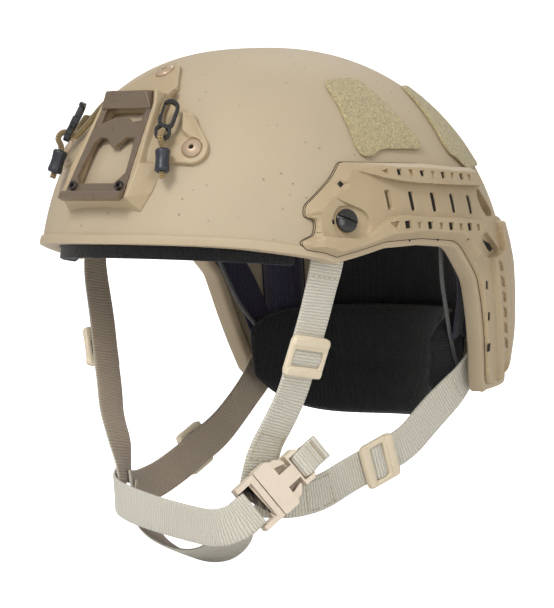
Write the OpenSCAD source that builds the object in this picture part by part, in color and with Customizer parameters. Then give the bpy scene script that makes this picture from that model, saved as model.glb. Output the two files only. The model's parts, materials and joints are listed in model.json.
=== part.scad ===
// High-cut combat helmet with accessory rails, front shroud, fit dial and four-point chin strap.
// +X is the wearer's left, the brow faces -Y and +Z is up. The origin is the middle of the head
// cavity, on the shell's widest level. Millimetres and degrees.

/* [Shell] */
// Reach of the shell in front of the head centre
shell_front = 132; // [122:1:142]
// Reach of the shell behind the head centre
shell_rear = 143; // [133:1:153]
// Half of the shell's greatest width
shell_half_w = 108; // [102:1:114]
// Crown height above the widest level
crown_h = 128.5; // [120:0.5:136]
// How far the crown lies in front of the head centre
crown_shift = 11.8; // [8:0.2:15]
// Depth of the nape below the widest level
nape_h = 60; // [54:1:66]
// Share of the width that the shell draws in at the nape
tuck = 0.07; // [0:0.01:0.12]
// Thickness of the shell wall
wall = 8; // [6.5:0.5:9]
// Radius of the corners of the ear opening
ear_corner_r = 14; // [11:0.5:16]

/* [Edge trim] */
// Thickness of the rubber trim
trim_t = 1.3; // [0.8:0.1:1.8]
// Height of the trim's legs above the shell edge
trim_leg = 4; // [3:0.5:8]

/* [Rails] */
// Thickness of the rail plate
rail_t = 4.4; // [3:0.2:5]
// Height of the accessory track above the shell
track_h = 8.8; // [7:0.2:10]
// Distance between neighbouring notches
notch_pitch = 8.5; // [7.5:0.1:9]
// Width of a notch
notch_w = 3; // [2:0.2:4]
// Number of notches in a track
notch_count = 8; // [6:1:8]
// Distance between neighbouring slots
slot_pitch = 16.6; // [14:0.2:17]
// Length of a slot
slot_len = 10.5; // [8:0.5:12]
// Width of a slot
slot_w = 2.6; // [2:0.2:4]
// Number of slots in the middle of a rail
slot_count = 5; // [3:1:5]
// Diameter of the ear bolt head
bolt_head_d = 12.5; // [10:0.5:14]

/* [Shroud] */
// Width of the shroud across its lower lip
shroud_w = 49; // [44:1:54]
// Width of the shroud across its upper lip
shroud_top_w = 41; // [36:1:46]
// Length of the shroud's face from lip to lip
shroud_len = 53; // [48:1:58]
// Thickness of the metal insert
insert_t = 2.2; // [1.6:0.2:3]
// Diameter of the shroud screws' heads
shroud_screw_d = 10.5; // [8:0.5:12]
// Diameter of the insert screws' heads
insert_screw_d = 5.2; // [4:0.2:6]

/* [Padding] */
// Thickness of the pads against the shell
pad_t = 15; // [10:1:18]
// Thickness of the nape pad
nape_pad_t = 12; // [9:1:14]

/* [Fit system] */
// Diameter of the fit dial
dial_d = 30; // [26:1:34]
// Height of the fit dial
dial_h = 9; // [7:0.5:11]
// Diameter of the lace
lace_d = 2.4; // [1.8:0.2:3]

/* [Webbing] */
// Width of the webbing
web_w = 20; // [18:0.5:22]
// Thickness of the webbing
web_t = 1.8; // [1.4:0.1:2.2]
// Length of a slider along the webbing
slider_l = 22; // [20:0.5:25]
// Thickness of a slider
slider_t = 4; // [3:0.2:5]

/* [Buckle] */
// Width of the buckle
buckle_w = 28; // [26:0.5:32]
// Length of the buckle's socket half
socket_l = 27; // [24:0.5:30]
// Thickness of the buckle
buckle_t = 8.4; // [7:0.2:10]

/* [Retention cords] */
// Diameter of the shock cord
cord_d = 3.2; // [2.4:0.2:4]
// Diameter of the shrink sleeve
sleeve_d = 8; // [6:0.5:9]

/* [Hidden] */
$fn = 32;

// Form of the shell: exponents of its plan and of its upright curves
plan_front = 2.27;
plan_rear = 2.07;
rise_long = 1.79;
rise_side = 2.11;
rise_round = 2.38;

// Facets of the shell round its plan and over its height
shell_seg = 56;
shell_rows = 10;
low_rows = 3;

// Clearances: between soft or curved faces, and between a piece and its pocket
gap = 0.3;
slip = 0.15;
// Margin by which a cutter passes the face that it cuts
over = 1;
far = 200;

// Surface of the shell, offset outwards by d
function up_share(z, d) = max(0, min(1, z / (crown_h + d)));
function share_x(z, d) = pow(1 - pow(up_share(z, d), rise_side), 1 / rise_round)
    * (z < 0 ? 1 - tuck * pow(z / nape_h, 2) : 1);
function share_y(z, d) = pow(1 - pow(up_share(z, d), rise_long), 1 / rise_round);
function mid_y(z, d) = -crown_shift * pow(up_share(z, d), 2);
function ring_pt(a, z, d) =
    let (c = cos(a), s = sin(a), n = s < 0 ? plan_front : plan_rear,
         reach = (s < 0 ? shell_front : shell_rear) + d)
    [(shell_half_w + d) * share_x(z, d) * sign(c) * pow(abs(c), 2 / n),
     mid_y(z, d) + reach * share_y(z, d) * sign(s) * pow(abs(s), 2 / n),
     z];
function side_x(y, z, d = 0) =
    let (v = y - mid_y(z, d), n = v < 0 ? plan_front : plan_rear,
         reach = ((v < 0 ? shell_front : shell_rear) + d) * share_y(z, d),
         u = min(1, abs(v) / reach))
    (shell_half_w + d) * share_x(z, d) * pow(1 - pow(u, n), 1 / n);
function front_y(x, z, d = 0) =
    let (u = min(1, abs(x) / ((shell_half_w + d) * share_x(z, d))))
    mid_y(z, d) - (shell_front + d) * share_y(z, d) * pow(1 - pow(u, plan_front), 1 / plan_front);
function rear_y(x, z, d = 0) =
    let (u = min(1, abs(x) / ((shell_half_w + d) * share_x(z, d))))
    mid_y(z, d) + (shell_rear + d) * share_y(z, d) * pow(1 - pow(u, plan_rear), 1 / plan_rear);
// Height of the surface over a point of the plan, found by halving
function over_z(x, y, d = 0, lo = 0, hi = 1, n = 16) =
    let (m = (lo + hi) / 2, z = m * (crown_h + d))
    n == 0 ? z : (abs(x) < side_x(y, z, d) ? over_z(x, y, d, m, hi, n - 1) : over_z(x, y, d, lo, m, n - 1));
function unit(v) = v / norm(v);
// Outward direction of the surface on the wearer's left side or at the brow
function side_n(y, z) = unit(cross(
    [side_x(y + 1, z) - side_x(y - 1, z), 2, 0], [side_x(y, z + 1) - side_x(y, z - 1), 0, 2]));
function front_n(x, z) = unit(cross(
    [2, front_y(x + 1, z) - front_y(x - 1, z), 0], [0, front_y(x, z + 1) - front_y(x, z - 1), 2]));

// Faces of a closed grid of rings, each ring one loop of n points, rings running upwards
function tube_faces(n, m) = [for (i = [0:m - 2], j = [0:n - 1], k = [0:1])
    let (a = i * n + j, b = i * n + (j + 1) % n)
    k == 0 ? [a, a + n, b + n] : [a, b + n, b]];
function cap_low(n) = [[for (j = [0:n - 1]) j]];
function cap_high(n, m) = [[for (j = [n - 1:-1:0]) (m - 1) * n + j]];

// The solid under the surface offset by d, down to below the nape
module dome(d) {
    low = nape_h + 2 * trim_leg;
    zs = concat([for (i = [0:low_rows - 1]) -low * (1 - i / low_rows)],
        [for (k = [0:shell_rows - 1])
            (crown_h + d) * pow(1 - pow(cos(90 * k / shell_rows), rise_round), 1 / rise_long)]);
    rings = [for (z = zs, j = [0:shell_seg - 1]) ring_pt(360 * j / shell_seg, z, d)];
    m = len(zs);
    top = len(rings);
    polyhedron(concat(rings, [[0, -crown_shift, crown_h + d]]),
        concat(tube_faces(shell_seg, m), cap_low(shell_seg),
            [for (j = [0:shell_seg - 1])
                [(m - 1) * shell_seg + j, top, (m - 1) * shell_seg + (j + 1) % shell_seg]]));
}

// Line of the shell's edge seen from the side: brow, temple, ear opening, tail and nape. The
// points are the centres of the corner discs under the line.
brow_z = 31.5;
edge_line = [
    [-far, brow_z - ear_corner_r], [-127, brow_z - ear_corner_r], [-110, brow_z - 2 - ear_corner_r],
    [-97, brow_z - 4 - ear_corner_r], [-78, brow_z - 8 - ear_corner_r],
    [-66, brow_z - 10.6 - ear_corner_r], [-57, brow_z - 14.5 - ear_corner_r],
    [-40, brow_z - 11.5 - ear_corner_r], [-22, brow_z - 8 - ear_corner_r],
    [2, brow_z - 8 - ear_corner_r], [25, brow_z - 10.5 - ear_corner_r],
    [36, -6], [39, -16], [50.5, -nape_h], [62, -nape_h - 17], [72, -nape_h - ear_corner_r],
    [far, -nape_h - ear_corner_r]
];
// Everything below that line, grown upwards by g
module below_edge(g) {
    for (i = [0:len(edge_line) - 2])
        hull() {
            edge_disc(edge_line[i], g);
            edge_disc(edge_line[i + 1], g);
            translate([0, 0, -far]) edge_disc(edge_line[i], g);
            translate([0, 0, -far]) edge_disc(edge_line[i + 1], g);
        }
}
module edge_disc(p, g) {
    translate([-far, p[0], p[1]]) rotate([0, 90, 0]) cylinder(r = ear_corner_r + g, h = 2 * far, $fn = 20);
}
// A side-view outline carried through the wearer's left half
module side_prism(pts) {
    rotate([90, 0, 90]) linear_extrude(far) polygon(pts);
}
// The layer of side-view outline pts between two offsets of the surface
module side_layer(pts, low, high) {
    intersection() {
        difference() {
            dome(high);
            dome(low);
        }
        side_prism(pts);
    }
}
// Puts its children's +Z on the surface normal n at p
module stand(p, n) {
    x = unit(cross([0, 1, 0.2], n));
    y = cross(n, x);
    multmatrix([[x[0], y[0], n[0], p[0]], [x[1], y[1], n[1], p[1]], [x[2], y[2], n[2], p[2]]])
        children();
}
module both() {
    children();
    mirror([1, 0, 0]) children();
}

// Places of the fasteners: ear bolts in side view, shroud screws in front view
bolt_at = [-47, 37.3];
bolt_p = [side_x(bolt_at[0], bolt_at[1]), bolt_at[0], bolt_at[1]];
bolt_n = side_n(bolt_at[0], bolt_at[1]);
bolt_hole_d = 7;
screw_side = [46, 77];
screw_side_p = [screw_side[0], front_y(screw_side[0], screw_side[1]), screw_side[1]];
screw_side_n = front_n(screw_side[0], screw_side[1]);
screw_top_z = crown_h - 13;
screw_top_p = [0, front_y(0, screw_top_z), screw_top_z];
screw_top_n = front_n(0, screw_top_z);
screw_hole_d = 5.2;

module fixing_holes(extra) {
    reach = wall + 2 * track_h;
    both() {
        stand(bolt_p, bolt_n) translate([0, 0, -reach]) cylinder(d = bolt_hole_d + extra, h = 2 * reach);
        stand(screw_side_p, screw_side_n) translate([0, 0, -reach])
            cylinder(d = screw_hole_d + extra, h = 2 * reach);
    }
    stand(screw_top_p, screw_top_n) translate([0, 0, -reach]) cylinder(d = screw_hole_d + extra, h = 2 * reach);
}

module shell() color("tan") {
    difference() {
        dome(0);
        dome(-wall);
        below_edge(0);
        fixing_holes(0);
    }
}

module edge_trim() color("darkkhaki") {
    seat = 0.05;
    difference() {
        intersection() {
            dome(trim_t);
            below_edge(trim_leg);
        }
        dome(-wall - trim_t);
        below_edge(-trim_t - seat);
        difference() {
            dome(seat);
            dome(-wall - seat);
            below_edge(-seat);
        }
    }
}

// Rail outlines in side view, as [y, z]
plate_pts = [
    [-75, 27], [-72, 31.7], [-67.5, 31.7], [-67.5, 40], [-71, 40.5], [-70, 44.5], [-68.6, 47.7],
    [-49.8, 61.3], [-41, 67.8], [61, 59.6], [66, 50.5], [78, 34], [90, 31], [96, 8], [97, -30],
    [91, -50], [80, -58], [66, -57], [20, -57], [-40, 10], [-62, 16]
];
upper_track = [[-36, 67.4], [60.4, 59.6], [64, 51.6], [50.2, 49.8], [-14.7, 55.8], [-37, 62.9]];
lower_track = [
    [-73.5, 29], [-66.5, 31.2], [-45, 27], [-37, 29], [-24, 37], [-18.5, 39], [52.9, 33.9], [57, 28.5],
    [47, 22.6], [-22, 26.6], [-38, 22.4], [-50, 21.4], [-66, 24], [-72.5, 25.6]
];
front_rim = [
    [-70.4, 40.6], [-70, 44.5], [-68.6, 47.7], [-49.8, 61.3], [-41, 67.8], [-36.6, 66.9], [-37.4, 63],
    [-42, 62.2], [-49, 57.4], [-62.6, 47.2], [-64, 40.6]
];
pear_pts = [[-57, 51], [-46, 48.5], [-39, 43.5], [-35.8, 36.5], [-37.5, 30.5], [-43, 28.4], [-64, 32.6], [-63, 46]];
upper_window = [[59.3, 47.5], [63, 49], [74.5, 35.5], [73.5, 32.8], [65.5, 33.2], [59.6, 40]];
lower_window = [[59, 27], [70.5, 15.5], [68, 11], [58, 11.4], [52.5, 18]];
tail_track = [[71, 11], [78, 14], [90, 14], [91, -30], [86, -47], [76, -50]];
outer_tail = [[78, 30], [87, 30.6], [92.4, 8], [92.8, -30], [88, -49.4], [82, -54], [81, 10]];

upper_start = [-11.5, 61.3];
lower_start = [-14, 32.6];
track_fall = -0.075;
slot_start = [-21.5, 47.3];
slot_fall = -0.09;
tail_notch = [80.6, 8];
tail_notch_count = 7;
notch_h = 4.2;

// Cutters through the rail: every second notch goes right through, the others stop half way
module track_notches(start) {
    for (k = [0:notch_count - 1])
        let (y = start[0] + k * notch_pitch, z = start[1] + track_fall * k * notch_pitch,
             x = side_x(y, z) + (k % 2 == 0 ? -over : rail_t))
        translate([x, y - notch_w / 2, z - notch_h / 2]) cube([far, notch_w, notch_h]);
}
module rail_cuts() {
    track_notches(upper_start);
    track_notches(lower_start);
    for (k = [0:slot_count - 1])
        let (y = slot_start[0] + k * slot_pitch, z = slot_start[1] + slot_fall * k * slot_pitch,
             x = side_x(y, z) + (k == 0 ? rail_t / 2 : -over))
        hull() for (s = [-1, 1])
            translate([x, y, z + s * (slot_len - slot_w) / 2]) rotate([0, 90, 0])
                cylinder(d = slot_w, h = far, $fn = 12);
    for (k = [0:tail_notch_count - 1])
        let (z = tail_notch[1] - k * notch_pitch)
        translate([side_x(tail_notch[0], z) + rail_t, tail_notch[0] - 2, z - 1.6]) cube([far, 4, 3.2]);
    side_prism(upper_window);
    side_prism(lower_window);
    translate([side_x(-45, 56.5) - over, -46.6, 55]) cube([far, 3.4, 3.4]);
}

module rail() {
    difference() {
        union() {
            side_layer(plate_pts, gap, rail_t);
            side_layer(front_rim, gap, rail_t + 1.6);
            side_layer(upper_track, gap, track_h);
            side_layer(lower_track, gap, track_h);
            side_layer(tail_track, gap, rail_t + 3);
            side_layer(outer_tail, gap, rail_t + 3.4);
        }
        intersection() {
            side_prism(pear_pts);
            difference() {
                dome(far);
                dome(rail_t - 1.6);
            }
        }
        below_edge(trim_leg + gap);
        rail_cuts();
        fixing_holes(gap);
    }
}
module rail_left() color("tan") rail();
module rail_right() color("tan") mirror([1, 0, 0]) rail();

// Ear bolt: domed slotted head over a shank that passes rail and shell to its nut
bolt_seat = rail_t - 1.6;
module ear_bolt() {
    dome_h = 3.4;
    stand(bolt_p, bolt_n) difference() {
        union() {
            translate([0, 0, -wall - 3]) cylinder(d = bolt_hole_d - 2 * slip, h = wall + 3 + bolt_seat + slip);
            translate([0, 0, bolt_seat + slip]) intersection() {
                cylinder(d = bolt_head_d, h = dome_h);
                translate([0, 0, dome_h - bolt_head_d * 0.8]) sphere(r = bolt_head_d * 0.8);
            }
        }
        translate([0, 0, bolt_seat + dome_h]) rotate([0, 0, 35])
            cube([bolt_head_d + over, 1.5, 3], center = true);
    }
}
module ear_bolts() color("dimgray") both() ear_bolt();

module flat_nut(d, hole) {
    difference() {
        cylinder(d = d, h = 2.4);
        translate([0, 0, -over]) cylinder(d = hole, h = 2.4 + 2 * over);
    }
}
nut_off = -wall - 2.4 - 1;
module bolt_nuts() color("gray") {
    both() {
        stand(bolt_p, bolt_n) translate([0, 0, nut_off]) flat_nut(13, bolt_hole_d - 2 * slip);
        stand(screw_side_p, screw_side_n) translate([0, 0, nut_off]) flat_nut(10, screw_hole_d - 2 * slip);
    }
    stand(screw_top_p, screw_top_n) translate([0, 0, nut_off]) flat_nut(10, screw_hole_d - 2 * slip);
}

// Shroud. Its face leans back by lean, with the lower lip's edge at lip_y, lip_z
lean = 30.9;
lip_z = 55.6;
lip_y = front_y(0, lip_z) - 8;
plate_h = 3.6;
foot_x = 19;
module face_place() {
    translate([0, lip_y, lip_z]) rotate([-lean, 0, 0]) children();
}
// A round post through the surface at a place of the front view
module post(x, z, r) {
    stand([x, front_y(x, z), z], front_n(x, z)) translate([0, 0, -2]) cylinder(r = r, h = 5 * plate_h, $fn = 24);
}
lobe_r = shroud_screw_d / 2 + 3.4;
module shroud_plates() {
    for (s = [-1, 1])
        hull() {
            post(s * screw_side[0], screw_side[1], lobe_r);
            post(s * 26, 73, 2);
            post(s * 37, 93, 2);
            post(s * 22, 99, 3);
        }
    hull() {
        post(0, screw_top_z, lobe_r);
        for (s = [-1, 1]) post(s * 17.5, screw_top_z - 8, 2);
        for (s = [-1, 1]) post(s * 14.5, screw_top_z - 15.5, 2);
    }
}
// A small cube on the shroud's face frame, one corner of a hull, on both sides
module corner(x, y, z) {
    for (s = [-1, 1]) translate([s * x - 0.5, y - 0.5, z - 0.5]) cube(1);
}
// Body between the face and the shell: a broad foot and a narrower upper part
rim_z = shroud_len + 9;
deep = 18;
module tower() {
    face_place() {
        hull() {
            corner(shroud_w / 2 - 0.5, 0.5, -0.5);
            corner(shroud_w / 2 + 0.6, 0, 18);
            corner(28.8, deep, -5);
            corner(37.5, deep, 14);
            corner(35, deep, 22);
            corner(32, 7, 22);
        }
        hull() {
            corner(shroud_w / 2 + 0.6, 0, 18);
            corner(shroud_top_w / 2, 0.5, shroud_len);
            corner(shroud_top_w / 2 - 3, 0, rim_z - 0.5);
            corner(29, deep, 18);
            corner(24, deep, shroud_len - 6);
            corner(19, deep, rim_z + 3);
        }
    }
}
// Horn on the upper edge of a side plate, corners as x, z and height above the shell
catch_pts = [
    [37.6, 96.5, 6.4], [41.4, 88, 5.8], [40.5, 94.5, 3.2], [49.5, 82.5, 3.2], [44.5, 83.5, 3.2],
    [37.6, 95, 1], [41, 87, 1], [40.5, 93.5, 1], [49, 82, 1], [44, 82, 1]
];
module fin_catch() {
    hull() for (q = catch_pts) translate([q[0], front_y(q[0], q[1], q[2]), q[1]]) cube(0.8, center = true);
}
module shroud_body() color("tan") {
    side_t = 4.6;
    difference() {
        union() {
            tower();
            intersection() {
                shroud_plates();
                dome(plate_h);
            }
            both() fin_catch();
        }
        dome(gap);
        // Window behind the insert, down to the shell
        hull() face_place() {
            corner(shroud_w / 2 - side_t, 0, 9);
            corner(shroud_w / 2 - side_t, 40, 9);
            corner(shroud_top_w / 2 - side_t, 0, shroud_len - 2);
            corner(shroud_top_w / 2 - side_t, 40, shroud_len - 2);
        }
        // Pocket of the insert
        hull() face_place() {
            translate([-shroud_w / 2 + 1.6, -2 * over, -over]) cube([shroud_w - 3.2, insert_t + 2 * over, 1]);
            translate([-shroud_top_w / 2 + 1.6, -2 * over, shroud_len]) cube([shroud_top_w - 3.2, insert_t + 2 * over, 1]);
            translate([-shroud_top_w / 2 + 5, -2 * over, rim_z - 1]) cube([shroud_top_w - 10, insert_t + 2 * over, 0.4]);
        }
        // Arch under the lower lip
        hull() for (s = [-1, 1])
            translate([s * (foot_x - 5), 0, lip_z - 12]) rotate([90, 0, 0]) cylinder(r = 4.5, h = far, $fn = 16);
        hull() for (s = [-1, 1])
            translate([s * (foot_x - 1), 0, lip_z - 24]) rotate([90, 0, 0]) cylinder(r = 2, h = far, $fn = 16);
        // Recesses and bores of the three screws
        both() stand(screw_side_p, screw_side_n) translate([0, 0, plate_h - 1.2])
            cylinder(d = shroud_screw_d + 0.8, h = far / 10);
        stand(screw_top_p, screw_top_n) translate([0, 0, plate_h - 1.2])
            cylinder(d = shroud_screw_d + 0.8, h = far / 10);
        fixing_holes(gap);
    }
}

module insert_outline() {
    low = shroud_w / 2 - 1.9;
    top = shroud_top_w / 2 - 1.9;
    bar = 3.6;
    difference() {
        polygon([
            [-low, 0], [low, 0], [top, shroud_len], [top - 3.4, rim_z - 1], [-top + 3.4, rim_z - 1], [-top, shroud_len]
        ]);
        polygon([
            [-low + bar + 1, 12], [-low + bar + 4, 7], [low - bar - 7, 7], [low - bar - 1, 13],
            [top - bar, shroud_len - 19], [8, shroud_len - 19], [3, shroud_len - 24],
            [-1, shroud_len - 24], [-6, shroud_len - 19], [-top + bar + 3, shroud_len - 19],
            [-top + bar, shroud_len - 22]
        ]);
        polygon([
            [-top + bar, shroud_len - 2], [top - bar, shroud_len - 2],
            [top - bar, shroud_len - 9], [8, shroud_len - 10], [4, shroud_len - 7.5], [-top + bar + 7, shroud_len - 8],
            [-top + bar, shroud_len - 11]
        ]);
    }
}
insert_screw_at = [17.5, 5.3];
module shroud_insert() color("rosybrown") {
    low = shroud_w / 2 - 1.9;
    top = shroud_top_w / 2 - 1.9;
    face_place() {
        difference() {
            translate([0, insert_t - slip, 0]) rotate([90, 0, 0]) linear_extrude(insert_t) insert_outline();
            for (s = [-1, 1])
                translate([s * insert_screw_at[0], -over, insert_screw_at[1]]) rotate([-90, 0, 0])
                    cylinder(d = 3, h = insert_t + 2 * over);
        }
        // Lower lip with its slope, and the upper lip that juts out towards its top
        translate([-low, 0, 0]) rotate([90, 0, 90]) linear_extrude(2 * low)
            polygon([[slip, 0.2], [slip, 2.4], [-3, 1.2], [-3.4, 0], [-3.4, -3.2], [-slip, -3.2], [-slip, 0.2]]);
        hull() {
            translate([-top, -0.9, shroud_len - 2]) cube([2 * top, 0.9 + slip, 0.6]);
            translate([-top + 3.4, -4.8, rim_z - 4.4]) cube([2 * top - 6.8, 1, 1.6]);
            translate([-top + 3.4, -0.9, rim_z - 1.6]) cube([2 * top - 6.8, 0.9 + slip, 0.6]);
        }
    }
}
module insert_screws() color("slategray") {
    face_place() for (s = [-1, 1])
        translate([s * insert_screw_at[0], -slip, insert_screw_at[1]]) rotate([90, 0, 0]) difference() {
            union() {
                translate([0, 0, -insert_t]) cylinder(d = 2.8, h = insert_t + 0.1);
                cylinder(d = insert_screw_d, h = 1.6);
            }
            translate([0, 0, 0.6]) cylinder(d = 2.4, h = 3, $fn = 6);
        }
}

module shroud_screw() {
    translate([0, 0, nut_off - 0.4]) cylinder(d = screw_hole_d - 2 * slip, h = plate_h - nut_off);
    translate([0, 0, plate_h - 1.2 + slip]) difference() {
        union() {
            cylinder(d = shroud_screw_d, h = 1.2);
            translate([0, 0, 1.2]) cylinder(d1 = shroud_screw_d, d2 = shroud_screw_d - 3.4, h = 1.2);
        }
        translate([0, 0, 0.8]) cylinder(d = 2.6, h = 4, $fn = 6);
    }
}
module shroud_screws() color("rosybrown") {
    both() stand(screw_side_p, screw_side_n) shroud_screw();
    stand(screw_top_p, screw_top_n) shroud_screw();
}

// Loop patches, outlines in side view as [y, z]
patch_t = 1.9;
side_patch_pts = [
    [-23, 107], [-18, 110.5], [0, 111], [4, 109.6], [14.5, 92], [23.5, 74.5], [21.5, 71.5], [-7, 73],
    [-13, 72.6], [-18, 69.8], [-24.5, 69.6], [-27, 74], [-26, 87], [-24, 99]
];
rear_patch_pts = [
    [45.5, 101], [48, 104.5], [62, 105], [68, 102], [100, 68], [97, 60], [66, 59], [61, 60.6], [55, 65.4],
    [49, 67.6], [46.5, 75]
];
module loop_patch(pts) {
    side_layer(pts, 0.1, patch_t);
}
module loop_side_left() color("khaki") loop_patch(side_patch_pts);
module loop_side_right() color("khaki") mirror([1, 0, 0]) loop_patch(side_patch_pts);
module loop_rear_left() color("khaki") loop_patch(rear_patch_pts);
module loop_rear_right() color("khaki") mirror([1, 0, 0]) loop_patch(rear_patch_pts);

// Pads. A pad is a grid of nu by nv points on its back, on the shell's lining, and the same grid
// on its crowned front. crown() is full in the middle and falls off round the rim.
function crown(u, v) = pow(max(0, 1 - pow(abs(u), 4)), 0.5) * pow(max(0, 1 - pow(abs(v), 4)), 0.5);
function grid_faces(nu, nv, base, flip) = [for (i = [0:nu - 2], j = [0:nv - 2], k = [0:1])
    let (a = base + i * nv + j, b = a + 1, c = a + nv, d = c + 1)
    k == 0 ? (flip ? [a, c, b] : [a, b, c]) : (flip ? [b, c, d] : [b, d, c])];
function rim_loop(nu, nv) = concat(
    [for (j = [0:nv - 2]) j],
    [for (i = [0:nu - 2]) i * nv + nv - 1],
    [for (j = [nv - 1:-1:1]) (nu - 1) * nv + j],
    [for (i = [nu - 1:-1:1]) i * nv]);
// Closed solid of two grids of points; flip turns its faces about
module cushion(back, front, nu, nv, flip = false) {
    r = rim_loop(nu, nv);
    n = len(r);
    o = nu * nv;
    polyhedron(concat(back, front), concat(
        grid_faces(nu, nv, 0, flip), grid_faces(nu, nv, o, !flip),
        [for (k = [0:n - 1], h = [0:1])
            let (a = r[k], b = r[(k + 1) % n])
            h == 0 ? (flip ? [a, b, b + o] : [a, b + o, b]) : (flip ? [a, b + o, a + o] : [a, a + o, b + o])]));
}
// Backs of the pads: against the wall, or clear of the trim's inner leg
lining = -wall - 0.5;
trim_lining = -wall - trim_t - 0.6;
rim_t = 2.5;
// Pad between two plan angles and two levels, lying on the lining. Its lower edge falls by drop
// towards both ends.
module wall_pad(a0, a1, z0, z1, t, nu, nv, back = lining, drop = 0) {
    uv = [for (i = [0:nu - 1], j = [0:nv - 1]) [2 * i / (nu - 1) - 1, 2 * j / (nv - 1) - 1]];
    function at(q, d) =
        let (inset = 0.06 * pow(abs(q[0]), 2) * (1 - 0.5 * pow(q[1], 2)))
        let (level = (z0 + z1) / 2 + q[1] * (1 - inset) * (z1 - z0) / 2 - drop * q[0] * q[0] * (1 - q[1]) / 2)
        ring_pt((a0 + a1) / 2 + q[0] * (a1 - a0) / 2, level, d);
    cushion([for (q = uv) at(q, back)], [for (q = uv) at(q, back - rim_t - (t - rim_t) * crown(q[0], q[1]))],
        nu, nv);
}
module brow_pad() color("#26262a")
    wall_pad(270 - 58, 270 + 58, 23, 66, pad_t, 17, 6, trim_lining, drop = 7);
side_pad_a = [-13, 28];
side_pad_z = [36, 82];
module side_pad_left() color("#26262a")
    wall_pad(side_pad_a[0], side_pad_a[1], side_pad_z[0], side_pad_z[1], pad_t, 9, 7);
module side_pad_right() color("#26262a") mirror([1, 0, 0])
    wall_pad(side_pad_a[0], side_pad_a[1], side_pad_z[0], side_pad_z[1], pad_t, 9, 7);
rear_pad_a = [33.5, 45];
rear_pad_z = [-38, 30];
module rear_pad_left() color("#2c2a3e")
    wall_pad(rear_pad_a[0], rear_pad_a[1], rear_pad_z[0], rear_pad_z[1], pad_t, 5, 8);
module rear_pad_right() color("#2c2a3e") mirror([1, 0, 0])
    wall_pad(rear_pad_a[0], rear_pad_a[1], rear_pad_z[0], rear_pad_z[1], pad_t, 5, 8);
// Wide pad across the back of the head, between both rear pads
mid_pad_gap = 4;
mid_pad_z = [-34, 34];
module rear_pad_mid() color("#1c1c20")
    wall_pad(rear_pad_a[1] + mid_pad_gap, 180 - rear_pad_a[1] - mid_pad_gap, mid_pad_z[0], mid_pad_z[1],
        pad_t, 15, 7, lining - 0.3);
crown_pad_r = [42, 54];
module crown_pad() {
    nu = 10;
    nv = 10;
    uv = [for (i = [0:nu - 1], j = [0:nv - 1]) [2 * i / (nu - 1) - 1, 2 * j / (nv - 1) - 1]];
    // The square of the grid is drawn to a rounded oval
    function oval(q) = [
        crown_pad_r[0] * q[0] * sqrt(1 - q[1] * q[1] / 2.6),
        -crown_shift + 4 + crown_pad_r[1] * q[1] * sqrt(1 - q[0] * q[0] / 2.6)];
    function at(q, d) = let (p = oval(q)) [p[0], p[1], over_z(p[0], p[1], lining) + d];
    color("#26262a") cushion([for (q = uv) at(q, 0)],
        [for (q = uv) at(q, -rim_t - (pad_t - rim_t) * crown(q[0], q[1]))], nu, nv);
}

// Nape pad: a U in plan round the back of the head, with crowned inner and outer faces
nape_c = [0, 48];
nape_rx = 69;
nape_ry = 58;
nape_top = -20;
nape_low = -80;
nape_a = [2, 178];
function nape_pt(a, z, d) =
    let (low = (nape_top - z) / (nape_top - nape_low), in = 1 - 0.11 * low * low)
    [(nape_rx * in + d) * cos(a), nape_c[1] + (nape_ry * in + d) * sin(a), z];
module nape_pad() {
    nu = 25;
    nv = 7;
    uv = [for (i = [0:nu - 1], j = [0:nv - 1]) [2 * i / (nu - 1) - 1, 2 * j / (nv - 1) - 1]];
    function at(q, side) =
        let (a = (nape_a[0] + nape_a[1]) / 2 + q[0] * (nape_a[1] - nape_a[0]) / 2,
             wing = pow(abs(q[0]), 4), top = nape_top - 12 * wing * wing, low = nape_low + 24 * wing,
             z = (top + low) / 2 + q[1] * (top - low) / 2,
             t = 1.2 + (nape_pad_t / 2 - 1.2) * crown(q[0], q[1]))
        nape_pt(a, z, side * t);
    color("#1c1c20") cushion([for (q = uv) at(q, -1)], [for (q = uv) at(q, 1)], nu, nv, true);
}
// Cradle: a thin plastic shell behind the nape pad that carries the dial
cradle_t = 2.2;
cradle_z = [-72, -63, -54, -45, -36];
cradle_off = nape_pad_t / 2 + 0.7;
module nape_cradle() color("#303036") {
    steps = 10;
    a0 = 52;
    a1 = 128;
    as = [for (k = [0:steps]) a0 + (a1 - a0) * k / steps];
    cushion(
        [for (a = as, z = cradle_z) nape_pt(a, z, cradle_off)],
        [for (a = as, z = cradle_z) nape_pt(a, z, cradle_off + cradle_t)], steps + 1, len(cradle_z), true);
}
dial_z = -58;
dial_y = nape_pt(90, dial_z + dial_d / 2 - 2, cradle_off + cradle_t)[1] + gap;
base_h = 5;
axle_d = 7;
module dial_base() color("#303036") {
    translate([0, dial_y, dial_z]) rotate([-90, 0, 0]) {
        difference() {
            hull() for (s = [-1, 1]) translate([s * 8, 0, 0]) cylinder(d = dial_d - 4, h = base_h);
            for (s = [-1, 1])
                translate([s * 25, 0, base_h / 2]) rotate([0, 90, 0]) cylinder(d = lace_d + 2 * gap, h = 16, center = true);
        }
        cylinder(d = axle_d, h = base_h + dial_h - 2);
    }
}
module dial_knob() color("#202024") {
    grips = 12;
    translate([0, dial_y + base_h + gap, dial_z]) rotate([-90, 0, 0]) difference() {
        union() {
            cylinder(d = dial_d, h = dial_h - 1);
            translate([0, 0, dial_h - 1]) cylinder(d1 = dial_d, d2 = dial_d - 2, h = 1);
        }
        translate([0, 0, -over]) cylinder(d = axle_d + 2 * slip, h = dial_h - 1);
        for (k = [0:grips - 1])
            rotate([0, 0, k * 360 / grips]) translate([dial_d / 2 + 1, 0, -over])
                cylinder(d = 4.4, h = dial_h + 2 * over);
    }
}

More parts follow.
